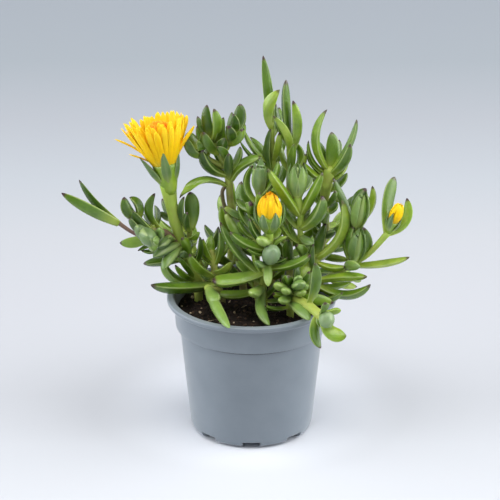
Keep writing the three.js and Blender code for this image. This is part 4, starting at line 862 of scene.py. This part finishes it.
PLUMP = 1.16  # a leaf skin's width, as a share of the width that the leaves keep clear of each other with
RING_CROWDING = 1.45  # above 1, a blade's rings stand closer towards its tip
SKIN_ROOT = 0.1  # how far a blade's pole at the root lies behind its first ring, as a share of its width
LEAF_SIDES, LEAF_RINGS, STEM_SIDES = 16, 18, 16
leaf_draw = np.random.default_rng(5)

# Across a leaf, with off = |cos(angle)|, its face bulges by 0.36 (1 - off^3) and its keeled back stands out
# by 1 - off^1.45, as shares of its half width.

angle = -2 * np.pi * np.arange(LEAF_SIDES) / LEAF_SIDES
off = np.abs(np.cos(angle))
keel = np.where(np.sin(angle) > 0, 0.36 * (1 - off**3), -1.0 * (1 - off**1.45))
LEAF_SECTION = np.stack([np.cos(angle), keel], -1)
ROUND_SECTION = np.stack([np.cos(angle), np.sin(angle)], -1)
STUB_SECTION = ROUND_SECTION * (1, 0.75)


def plump(t, belly):
    """A leaf's half width, tapered to a blunt tip."""
    return tapered(t, belly, 0.6, 2.3, 0.68)


def pointed(t, belly):
    """A sepal's half width, tapered to a sharp tip."""
    return tapered(t, belly, 0.6, 1.5, 0.9)


def tube_faces(rows, columns, count=1):
    """Quads of a closed tube, and the triangles that close each end on a pole: after a tube's rings come the
    pole of the first ring and that of the last."""
    j = np.arange(columns)
    beside, last = (j + 1) % columns, (rows - 1) * columns
    start = np.stack([beside, j, np.full(columns, rows * columns)], -1)
    end = np.stack([last + j, last + beside, np.full(columns, rows * columns + 1)], -1)
    step = np.arange(count)[:, None, None] * (rows * columns + 2)
    caps = (np.concatenate([start, end])[None] + step).reshape(-1, 3)
    return net(rows, columns, count=count, poles=2), caps


def blade_skin(blades, section, tone, tint, globe=0.0, rings=LEAF_RINGS, profile=plump):
    """The skins of many blades: a ring at t is the curve's point, plus half the width times the profile times
    the section, whose first number runs square to the curve and whose second runs towards the heart. Marks:
    growth is (t, tone, tip tint, globe) and shape is (towards the face, towards an edge, 0, 1)."""
    t = 1 - (1 - np.arange(rings) / rings) ** RING_CROWDING
    place, ahead = curve_points(blades, t)
    inward = blades["heart"][:, None] - curve_points(blades, np.array([0.5]))[0]
    face = unit(inward - ahead * (inward * ahead).sum(-1, keepdims=True))
    side = np.cross(ahead, face)
    wide = PLUMP if profile is plump else 1.0
    half = (blades["width"] * wide / 2)[:, None] * profile(t[None], blades["belly"][:, None])
    ring = side[:, :, None] * section[:, 0, None] + face[:, :, None] * section[:, 1, None]
    points = place[:, :, None] + half[:, :, None, None] * ring
    count, columns = len(points), len(section)
    back = (blades["root"] - ahead[:, 0] * SKIN_ROOT * blades["width"][:, None])[:, None]
    points = np.concatenate([points.reshape(count, -1, 3), back, blades["tip"][:, None]], 1)
    t = np.append(np.repeat(t, columns), (0, 1))
    toward = np.append(np.tile(section[:, 1] / np.abs(section[:, 1]).max(), rings), (0, 0))
    edge = np.append(np.tile(np.abs(section[:, 0]), rings), (0, 0))
    full = np.ones((count, len(t)))
    growth = [full * mark for mark in (t, np.reshape(tone, (-1, 1)), np.reshape(tint, (-1, 1)), globe)]
    shape = [full * mark for mark in (0.5 + 0.5 * toward, edge, 0, 1)]
    marks = {"growth": np.stack(growth, -1).reshape(-1, 4), "shape": np.stack(shape, -1).reshape(-1, 4)}
    quads, tris = tube_faces(rings, columns, count)
    return {"points": points.reshape(-1, 3), "quads": quads, "tris": tris, **marks}


ROUND_SIDES, LOBE_REACH, ROUND_MARKS = 32, 22, (0.4, 0.72, 0.0, 0.0)


def round_skin(flower, profile, top, lobes=(), rise=0.0):
    """A round body about a flower's axis through (radius, height) rings, closed at a height. Its rim rises at
    each lobe's turn by exp(-(degrees from the lobe / its reach)^2), and its rings by the cube of how far up
    they are."""
    turns = 360 * np.arange(ROUND_SIDES) / ROUND_SIDES
    off = (turns[:, None] - np.reshape(lobes, (1, -1)) + 180) % 360 - 180
    lift = rise * np.exp(-((off / LOBE_REACH) ** 2)).sum(1)
    share = np.linspace(0, 1, len(profile)) ** 3
    rings = [about_axis(flower, r + 0 * turns, turns, h + s * lift) for (r, h), s in zip(profile, share)]
    ends = about_axis(flower, np.zeros(2), np.zeros(2), np.array([profile[0][1], top]))
    points = np.concatenate([*rings, ends])
    quads, tris = tube_faces(len(rings), len(turns))
    marks = np.tile(ROUND_MARKS, (len(points), 1))
    return {"points": points, "quads": quads, "tris": tris, "growth": marks, "shape": marks}


STEM_SKIN = {"rings": 7, "girth": 0.92, "tone": 0.5, "across": np.array([0.8, 0.6, 0.0])}
KNOTS = {"swell": 0.14, "reach": 0.022, "count": 5}
DOME = {"turns": np.radians([25, 50, 72]), "height": 0.7, "top": 0.05}


def stem_skin(stem, foot=0.0):
    """The skin of a stem: rings square to its smooth path, closed by a dome. A ring's radius is a share of
    half the girth, times 1 + swell * exp(-(how far t is from a leaf's / reach)^2), a slight knot at every
    leaf. Its foot goes straight down by the length asked. Growth holds (t, tone, 0, bark)."""
    t = np.linspace(0, 1, (len(stem["path"]) - 1) * STEM_SKIN["rings"] + 1)
    place, ahead = along_path(stem["path"], t)
    knots = [leaf[0] for leaf in stem["leaves"]] or np.linspace(*BACK_LEAF["at"], KNOTS["count"])
    from_knot = (t[:, None] - np.array(knots)) / KNOTS["reach"]
    knot = 1 + KNOTS["swell"] * np.exp(-(from_knot**2)).max(1)
    radius = STEM_SKIN["girth"] * girth_at(stem, t) / 2 * knot
    dome = DOME["turns"]
    rise = ahead[-1] * DOME["height"] * radius[-1] * np.sin(dome)[:, None]
    place, t = np.concatenate([place, place[-1] + rise]), np.append(t, np.ones(len(dome)))
    ahead = np.concatenate([ahead, np.repeat(ahead[-1:], len(dome), 0)])
    radius = np.append(radius, radius[-1] * np.cos(dome))
    if foot:
        place = np.concatenate([[place[0] - (0, 0, foot)], place])
        ahead = np.concatenate([[(0.0, 0.0, 1.0)], ahead])
        radius, t = np.append(radius[:1], radius), np.append(0.0, t)
    one = unit(STEM_SKIN["across"] - ahead * (ahead @ STEM_SKIN["across"])[:, None])
    two = np.cross(ahead, one)
    turn = 2 * np.pi * np.arange(STEM_SIDES) / STEM_SIDES
    ring = one[:, None] * np.cos(turn)[:, None] + two[:, None] * np.sin(turn)[:, None]
    rings = place[:, None] + radius[:, None, None] * ring
    top = place[-1] + ahead[-1] * DOME["top"] * radius[0]
    points = np.concatenate([rings.reshape(-1, 3), [place[0]], [top]])
    t = np.append(np.repeat(t, STEM_SIDES), (0, 1))
    low, high = stem["bark"]
    growth = np.stack([t, np.full(len(t), STEM_SKIN["tone"]), 0 * t, low + (high - low) * t], -1)
    quads, tris = tube_faces(len(rings), STEM_SIDES)
    return {"points": points, "quads": quads, "tris": tris, "growth": growth, "shape": 0 * growth + 1}


def joined_piece(name, skins, finishes, which=None):
    """One mesh object of several skins, each with the number of its finish."""
    offset = np.cumsum([0] + [len(skin["points"]) for skin in skins])[:-1]
    kinds = ("quads", "tris")
    faces = [np.concatenate([skin[kind] + o for skin, o in zip(skins, offset)]) for kind in kinds]
    which = which or [0] * len(skins)
    finish = np.concatenate([np.full(len(skin[kind]), w) for kind in kinds for skin, w in zip(skins, which)])
    points = np.concatenate([skin["points"] for skin in skins]) * MM
    marks = {key: np.concatenate([skin[key] for skin in skins]) for key in ("growth", "shape")}
    return mesh_piece(name, points, faces, finishes, finish, **marks)


BUD = {"spin": 20, "spread": 0.06, "foot": 0.1, "swell": 0.55, "belly": 0.45, "wrap": 3.5, "keel": (1, 0.5)}
BUD_CORE, BUD_TONE, BUD_TINT, BUD_WAX = (0.84, 0.9), (0.35, 0.3), 0.3, 0.4
CORE_TONE, GLOBE_TONE = 0.4, 0.55


def bud_skins(stem, row):
    """A closed bud: a plump round core, and sepals that leave the root, swell out to the bud's width and
    close again towards its tip. Without sepals it is a waxy globe."""
    at, x, y, z, width, sepals, *rest = row
    root, tip = along_path(stem["path"], at)[0][0], np.array([x, y, z], float)
    length, axis = np.linalg.norm(tip - root), unit(tip - root)
    across, beyond = square_to(axis)
    middle = (root + tip) / 2
    if not sepals:
        globe, wax = (root, middle, tip, width, 0.5, middle + across), rest[0] if rest else 1.0
        return [blade_skin(blades_of([globe]), ROUND_SECTION, GLOBE_TONE, 0.0, globe=wax)]
    core_width, core_top = width * BUD_CORE[0], root + BUD_CORE[1] * (tip - root)
    core = (root, middle, core_top, core_width, BUD["belly"], middle + across)
    rows, spread = [], rest[0] if rest else BUD["spread"]
    for turn in np.radians(BUD["spin"] + 360 * np.arange(sepals) / sepals):
        out = across * np.cos(turn) + beyond * np.sin(turn)
        control = root + axis * length * BUD["belly"] + out * width * BUD["swell"]
        foot, end = root + out * width * BUD["foot"], tip + out * width * spread
        rows.append((foot, control, end, width * min(BUD["wrap"] / sepals, 1.0), BUD["belly"], tip))
    tone, section = BUD_TONE[0] + BUD_TONE[1] * leaf_draw.random(sepals), LEAF_SECTION * BUD["keel"]
    return [
        blade_skin(blades_of([core]), ROUND_SECTION, CORE_TONE, 0.0, profile=pointed),
        blade_skin(blades_of(rows), section, tone, BUD_TINT, globe=BUD_WAX, profile=pointed),
    ]


def flower_blades(flower, turn, root, bend, tip, width, belly):
    """Blades about a flower's axis: the root, bend and tip of each share a turn, and its face looks at the
    axis."""
    turn = np.asarray(turn, float)
    ends = (root, bend, tip, (0, tip[1]))
    points = [about_axis(flower, radius + 0 * turn, turn, height + 0 * turn) for radius, height in ends]
    blades = dict(zip(("root", "control", "tip", "heart"), points))
    return {**blades, "width": width + 0 * turn, "belly": belly + 0 * turn}


CUP_RISE = 0.35  # of a cup's rim at each sepal, as a share of its height
SEPAL = {"belly": 0.4, "keel": (1, 0.6), "tone": 0.2, "tint": 0.9, "wax": 0.3}


def cup_skins(flower):
    """The cup of a flower and its unequal sepals."""
    turns, tip_radius, tip_height, width = np.array(flower["sepals"], float).T
    sepal, brim = flower["sepal"], flower["cup"][-1][1]
    tip, section = (tip_radius, tip_height), LEAF_SECTION * SEPAL["keel"]
    blades = flower_blades(flower, turns, sepal["root"], sepal["bend"], tip, width, SEPAL["belly"])
    return [
        round_skin(flower, flower["cup"], brim, turns, brim * CUP_RISE),
        blade_skin(blades, section, SEPAL["tone"], SEPAL["tint"], globe=SEPAL["wax"], profile=pointed),
    ]


# The skin is waxy, with a net of minute blisters that make it glitter. Leaves and stems share them.

papillae = bpy.data.node_groups.new("papillae", "ShaderNodeTree")
papillae.interface.new_socket("Depth", in_out="INPUT", socket_type="NodeSocketFloat")
papillae.interface.new_socket("Normal", in_out="OUTPUT", socket_type="NodeSocketVector")
asked, given = papillae.nodes.new("NodeGroupInput"), papillae.nodes.new("NodeGroupOutput")
place = node(papillae, "TexCoord").outputs["Object"]
cells = node(papillae, "TexVoronoi", Vector=place, Scale=1500.0).outputs["Distance"]
fine = bump(cells, asked.outputs["Depth"], 0.00022)
fine.invert = True
broad = bump(noise(papillae, 240.0), asked.outputs["Depth"], 0.0006, Normal=fine.outputs["Normal"])
put(broad.outputs["Normal"], given.inputs["Normal"])


def blistered(shader, depth):
    """A shader's normal from the blisters at a depth."""
    skin = node(shader.id_data, "Group")
    skin.node_tree = papillae
    skin.inputs["Depth"].default_value = depth
    put(skin.outputs["Normal"], shader.inputs["Normal"])


def mark_channels(tree, name):
    """The red, green, blue and alpha of a point mark."""
    mark = node(tree, "Attribute")
    mark.attribute_name = name
    return *node(tree, "SeparateColor", mark.outputs["Color"]).outputs[:3], mark.outputs["Alpha"]


def times(one, two):
    """The product of a socket and another socket or a plain number."""
    return sums("MULTIPLY", one, two)


def blended(share, under, over):
    """Two colours mixed by a share: the one under is a socket, the one over a socket or a plain colour."""
    made = node(share.id_data, "Mix", share)
    made.data_type = "RGBA"
    put(under, made.inputs[6])
    put((*over, 1.0) if isinstance(over, tuple) else over, made.inputs[7])
    return made.outputs[2]


LEAF_GREENS = [
    (0.0, (0.026, 0.070, 0.002)),
    (0.35, (0.076, 0.160, 0.006)),
    (0.65, (0.165, 0.285, 0.012)),
    (1.0, (0.350, 0.455, 0.050)),
]
leaf_finish, tree, shader = material(
    "succulent_leaf",
    Roughness=0.25,
    Specular_IOR_Level=0.55,
    Sheen_Weight=0.03,
    Sheen_Roughness=0.45,
    Subsurface_Weight=0.12,
    Subsurface_Scale=0.002,
    Subsurface_Radius=(0.5, 1.0, 0.25),
)
along_mark, tone_mark, tint_mark, globe_mark = mark_channels(tree, "growth")
face_mark, edge_mark, _, _ = mark_channels(tree, "shape")
mottle = times(sums("SUBTRACT", noise(tree, 110.0, 3.0), 0.5), 0.7)
skin = ramp(sums("ADD", tone_mark, mottle, clamp=True), LEAF_GREENS)
rim = times(times(between(edge_mark, 0.93, 1.0), tint_mark), between(along_mark, 0.35, 0.9))
for share, colour in (
    (times(between(along_mark, 0.42, 0.0), 0.6), (0.42, 0.50, 0.07)),  # yellower at the root
    (times(between(face_mark, 0.4, 1.0), 0.22), (0.22, 0.37, 0.05)),  # fresher on the face
    (times(between(noise(tree, 45.0), 0.45, 0.75), 0.18), (0.24, 0.35, 0.15)),  # waxy clouds
    (times(between(edge_mark, 0.86, 0.99), 0.5), (0.46, 0.57, 0.18)),  # pale edges, partly their own colour and partly a painted highlight
    (times(between(face_mark, 0.14, 0.0), 0.16), (0.42, 0.52, 0.18)),  # and a pale keel, partly its own colour and partly a painted highlight
    (times(globe_mark, 0.8), (0.19, 0.27, 0.16)),  # the blue wax of round buds
    (times(rim, 0.15), (0.20, 0.075, 0.06)),  # a red rim towards the tip
    (times(times(between(along_mark, 0.88, 1.0), tint_mark), 0.6), (0.12, 0.055, 0.045)),  # a brown blush
    (times(between(along_mark, 0.915, 0.97), tint_mark), (0.040, 0.010, 0.016)),  # and a purple tip
):
    skin = blended(share, skin, colour)
put(skin, shader.inputs["Base Color"])
blistered(shader, 0.55)

STEM_BARK = [
    (0.0, (0.35, 0.49, 0.07)),
    (0.3, (0.32, 0.37, 0.07)),
    (0.55, (0.17, 0.14, 0.06)),
    (0.8, (0.15, 0.085, 0.065)),
    (1.0, (0.13, 0.055, 0.055)),
]
stem_finish, tree, shader = material(
    "stem_skin", Roughness=0.5, Specular_IOR_Level=0.4, Subsurface_Weight=0.06, Subsurface_Scale=0.002
)
_, _, _, bark_mark = mark_channels(tree, "growth")
mottle = times(sums("SUBTRACT", noise(tree, 160.0, 4.0), 0.5), 0.5)
put(ramp(sums("ADD", bark_mark, mottle, clamp=True), STEM_BARK), shader.inputs["Base Color"])
blistered(shader, 0.35)

SHORT_LEAF = 12.5  # under this length a leaf has no dark tip yet
FORWARD = 0.7  # of a leaf's length towards -Y, above which it is a young one of a cluster and has none either
GROUND, STEM_FOOT = 85, 9.0  # a stem that starts below this height goes on down into the soil by its foot
TONE, TINT_POWER, STUB_WAX = (0.15, 0.7), 0.3, 0.3  # a leaf's least tone and the range above it come first
SHADE = {"head_shoot": -0.1, "tall_shoot": 0.16, "tallest_shoot": 0.16, "bloom_shoot": -0.14}
SHADE_PER_MM, SHADE_LEVEL, SHADE_ASIDE = 0.001, 75.0, 0.0008  # darker with height, lighter to the right
for shoot in map(str, dict.fromkeys(leaf_shoot)):
    skins, which = [], []
    for stem in (stem for stem in STEMS if stem["shoot"] == shoot):
        skins.append(stem_skin(stem, STEM_FOOT if stem["path"][0][2] < GROUND else 0.0))
        which.append(1)
        for bud in stem.get("buds", []) + stem.get("clasped", []):
            made = bud_skins(stem, bud)
            skins += made
            which += [0] * len(made)
    chosen = leaf_shoot == shoot
    own = {key: values[chosen] for key, values in leaves.items()}
    count = int(chosen.sum())
    tone, tint = TONE[0] + TONE[1] * leaf_draw.random(count), leaf_draw.random(count) ** TINT_POWER
    aside, _, level = own["tip"].T
    tone = tone + SHADE.get(shoot, 0.0) - SHADE_PER_MM * (level - SHADE_LEVEL) + SHADE_ASIDE * aside
    tone = np.clip(tone, 0, 1)
    length = np.linalg.norm(own["tip"] - own["root"], axis=1)
    forward = (own["root"] - own["tip"])[:, 1] > FORWARD * length
    tint = np.where(forward, 0, tint) * (length > SHORT_LEAF)
    for chosen, section, globe in ((~forward, LEAF_SECTION, 0.0), (forward, STUB_SECTION, STUB_WAX)):
        if chosen.any():
            some = {key: values[chosen] for key, values in own.items()}
            skins.append(blade_skin(some, section, tone[chosen], tint[chosen], globe=globe))
            which.append(0)
    for flower in FLOWERS.values():
        if flower["shoot"] == shoot:
            skins += cup_skins(flower)
            which += [0, 0]
    plant = joined_piece("leafy_" + shoot, skins, [leaf_finish, stem_finish], which)
    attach(plant, "root")
    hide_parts(shoot)

# ---------------------------------------------------------------- the petals
# Golden straps, thin and slightly channelled, grow in several rings from a fleshy core. In the open flower
# they stand up and splay, with a few strays; in the buds they are folded over one another to a dome.

PETAL_SIDES, PETAL_RINGS = 10, 12
petal_draw = np.random.default_rng(23)

# A petal's section is a thin channel: 0.10 sin(angle) about a middle line of 0.24 cos(angle)^2 - 0.12.

angle = -2 * np.pi * np.arange(PETAL_SIDES) / PETAL_SIDES
PETAL_SECTION = np.stack([np.cos(angle), 0.10 * np.sin(angle) + 0.24 * np.cos(angle) ** 2 - 0.12], -1)
CORES = {
    "bloom": {"rings": [(5, 8.4), (6.2, 9.5), (8, 13.5), (9, 16), (9.4, 17.4)], "top": 12},
    "front_bud": {"rings": [(3.0, 5.8), (5.6, 9), (6.7, 13), (6.2, 17.5), (4.0, 22)], "top": 23.5},
    "outer_bud": {"rings": [(1.4, 5.6), (2.4, 8), (3.0, 11), (2.6, 14)], "top": 16.5},
}
PETALS = {  # per ring: how many, first turn, root, bend and tip by radius and height, width, tips' spread
    "bloom": [
        (24, 0, (6.4, 8.5), (12.5, 19), (19.6, 37), 4.3, 1.3),
        (22, 7, (6.0, 9.5), (12.0, 20), (18.0, 39.5), 4.1, 1.4),
        (20, 3, (5.6, 10.5), (11.0, 21), (15.8, 39.5), 3.7, 1.7),
    ],
    "front_bud": [
        (12, 0, (5.0, 6.5), (10.2, 15), (2.4, 24), 4.2, 1.3),
        (11, 12, (4.2, 7), (9.2, 15), (1.8, 25), 3.8, 1.3),
        (8, 30, (3.2, 8), (7.6, 15), (1.4, 26), 3.0, 0.9),
    ],
    "outer_bud": [
        (8, 0, (2.4, 6.5), (5.4, 13), (2.0, 19.4), 3.0, 0.6),
        (6, 20, (1.8, 7), (4.4, 13), (1.4, 20), 2.6, 0.5),
    ],
}
STRAYS = [  # turn, bend and tip by radius and height, width
    (186, (14, 24), (27.2, 31.4), 1.4),
    (200, (12, 17), (21, 21.5), 1.3),
    (-8, (10, 19), (22.5, 31.4), 2.8),
    (-20, (10, 19), (21, 29.5), 2.4),
    (12, (12, 24), (19, 37), 4.0),
]
STRAY_ROOT, STRAY_SECTION, STRAY_TONE = (6, 11), PETAL_SECTION * (1, 5), 0.9
TURN_STRAY, TIP_STRAY = 3, 0.6  # how far petals stray from their turns, in degrees, and tips, of their spread
CORE_GOLD = 0.4  # along the colours of a petal's inside, for the core
LEAN = 0.12  # of the open flower's tips, further from its axis on one side than on the other
PETAL_OUTSIDE = [
    (0.0, (0.62, 0.45, 0.05)),
    (0.35, (0.88, 0.50, 0.006)),
    (0.7, (0.95, 0.55, 0.004)),
    (1.0, (0.97, 0.62, 0.02)),
]
PETAL_INSIDE = [
    (0.0, (0.76, 0.18, 0.003)),
    (0.25, (0.88, 0.39, 0.004)),
    (0.5, (0.92, 0.49, 0.005)),
    (1.0, (0.95, 0.61, 0.02)),
]


def strap(t, belly):
    """Half width along a petal as a share of its greatest: 0.55 + 0.45 sin up to the belly, and a blunt point
    (1 - past^2.4)^0.7 over the last fifth."""
    rising = 0.55 + 0.45 * np.sin(np.pi / 2 * np.minimum(t / belly, 1))
    past = np.clip((t - 0.8) / 0.2, 0, 1)
    return rising * (1 - past**2.4) ** 0.7


petal_finish, tree, shader = material(
    "golden_petal",
    Roughness=0.6,
    Specular_IOR_Level=0.12,
    Subsurface_Weight=0.35,
    Subsurface_Scale=0.0012,
    Subsurface_Radius=(1.0, 0.6, 0.1),
)
along_mark, tone_mark, fold_mark, _ = mark_channels(tree, "growth")
face_mark, edge_mark, _, _ = mark_channels(tree, "shape")
lane = node(tree, "CombineXYZ", times(edge_mark, 5.0), along_mark, times(tone_mark, 40.0)).outputs[0]
streak = node(tree, "TexNoise", Vector=lane, Scale=2.2, Detail=3.0).outputs["Fac"]
lifted = sums("ADD", along_mark, times(sums("SUBTRACT", streak, 0.5), 0.55))
warmed = sums("ADD", lifted, times(tone_mark, 0.15), clamp=True)
gold = blended(between(face_mark, 0.45, 0.6), ramp(warmed, PETAL_OUTSIDE), ramp(warmed, PETAL_INSIDE))
for share, colour in (
    (times(between(streak, 0.62, 0.4), fold_mark), (0.74, 0.40, 0.008)),  # painted shade between folded petals
    (times(between(along_mark, 0.5, 0.2), times(fold_mark, 0.6)), (0.55, 0.46, 0.04)),  # a greener foot
    (times(between(along_mark, 0.86, 1.0), times(fold_mark, 0.7)), (0.80, 0.22, 0.004)),  # and rusty tips
):
    gold = blended(share, gold, colour)
put(gold, shader.inputs["Base Color"])

for name, rows in PETALS.items():
    flower, core, folded = FLOWERS[name], CORES[name], float(name == "front_bud")
    skins = [round_skin(flower, core["rings"], core["top"])]
    skins[0]["growth"][:, 0], skins[0]["shape"][:, 0] = CORE_GOLD, 1.0
    for count, first, root, bend, (tip_radius, tip_height), width, spread in rows:
        stray = petal_draw.normal(0, 1, (3, count))
        turns = first + 360 * np.arange(count) / count + TURN_STRAY * stray[0]
        lean = 1 - LEAN * np.cos(np.radians(turns)) * (name == "bloom")
        spread *= TIP_STRAY
        tip = (tip_radius * lean + spread * stray[1], tip_height - spread * np.abs(stray[2]))
        blades = flower_blades(flower, turns, root, bend, tip, width, 0.5)
        tone = petal_draw.random(count)
        skins.append(blade_skin(blades, PETAL_SECTION, tone, folded, rings=PETAL_RINGS, profile=strap))
    for turn, bend, tip, width in STRAYS if name == "bloom" else []:
        blades = flower_blades(flower, [turn], STRAY_ROOT, bend, tip, width, 0.5)
        skins.append(blade_skin(blades, STRAY_SECTION, STRAY_TONE, 0.0, rings=PETAL_RINGS, profile=strap))
    petals = joined_piece("golden_" + name + "_petals", skins, [petal_finish])
    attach(petals, "root")
    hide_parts(name + "_petals")

# ---------------------------------------------------------------- the stamens
# A tuft of short orange threads with pollen heads stands on a bed in the cup that the open flower's core
# leaves.

STAMEN_COUNT, STAMEN_REACH, STAMEN_SPREAD, STAMEN_WIDTH = 64, 6.5, 0.4, 1.5
STAMEN_FOOT, STAMEN_BEND, STAMEN_TOP = 18, 27, 38.5
STAMEN_GATHER = (0.6, 0.8)  # of its reach, how far out a thread starts and how far out it bends
STAMEN_DROOP, STAMEN_RAGGED = 0.3, 2.5  # how much lower the outer ones end, by reach, and by chance
STAMEN_BED, STAMEN_BED_TOP = [(1.6, 13.0), (6.0, 14.6), (6.8, 17.6), (5.6, 20)], 21
STAMEN_SIDES, STAMEN_RINGS = 6, 10
STAMEN_ORANGE = [
    (0.0, (0.60, 0.10, 0.004)),
    (0.7, (0.85, 0.20, 0.004)),
    (0.88, (0.95, 0.30, 0.006)),
    (1.0, (0.96, 0.42, 0.01)),
]
stamen_finish, tree, shader = material("stamen_thread", Roughness=0.6, Specular_IOR_Level=0.3)
put(ramp(mark_channels(tree, "growth")[0], STAMEN_ORANGE), shader.inputs["Base Color"])


def pollen_head(t, belly):
    """Half width along a thread as a share of its greatest: 0.34 for four fifths, and over the last fifth an
    oval head, 0.34 + 0.66 sqrt(1 - (2 past - 1)^2)."""
    past = np.clip((t - 0.8) / 0.2, 0, 1)
    return 0.34 + 0.66 * np.sqrt(np.maximum(1 - (2 * past - 1) ** 2, 0)) * (past > 0)


flower = FLOWERS["bloom"]
reach = STAMEN_REACH * np.sqrt(petal_draw.random(STAMEN_COUNT))
turns = 360 * petal_draw.random(STAMEN_COUNT)
rise = STAMEN_TOP - STAMEN_DROOP * reach - STAMEN_RAGGED * petal_draw.random(STAMEN_COUNT)
foot = (reach * STAMEN_GATHER[0] + STAMEN_SPREAD, STAMEN_FOOT)
bend = (reach * STAMEN_GATHER[1] + STAMEN_SPREAD, STAMEN_BEND)
threads = flower_blades(flower, turns, foot, bend, (reach + STAMEN_SPREAD, rise), STAMEN_WIDTH, 0.5)
turn = 2 * np.pi * np.arange(STAMEN_SIDES) / STAMEN_SIDES
round_six = np.stack([np.cos(turn), -np.sin(turn)], -1)
tone = petal_draw.random(STAMEN_COUNT)
skins = [
    round_skin(flower, STAMEN_BED, STAMEN_BED_TOP),
    blade_skin(threads, round_six, tone, 0.0, rings=STAMEN_RINGS, profile=pollen_head),
]
stamens = joined_piece("pollen_threads", skins, [stamen_finish])
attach(stamens, "root")
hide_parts("bloom_stamens")
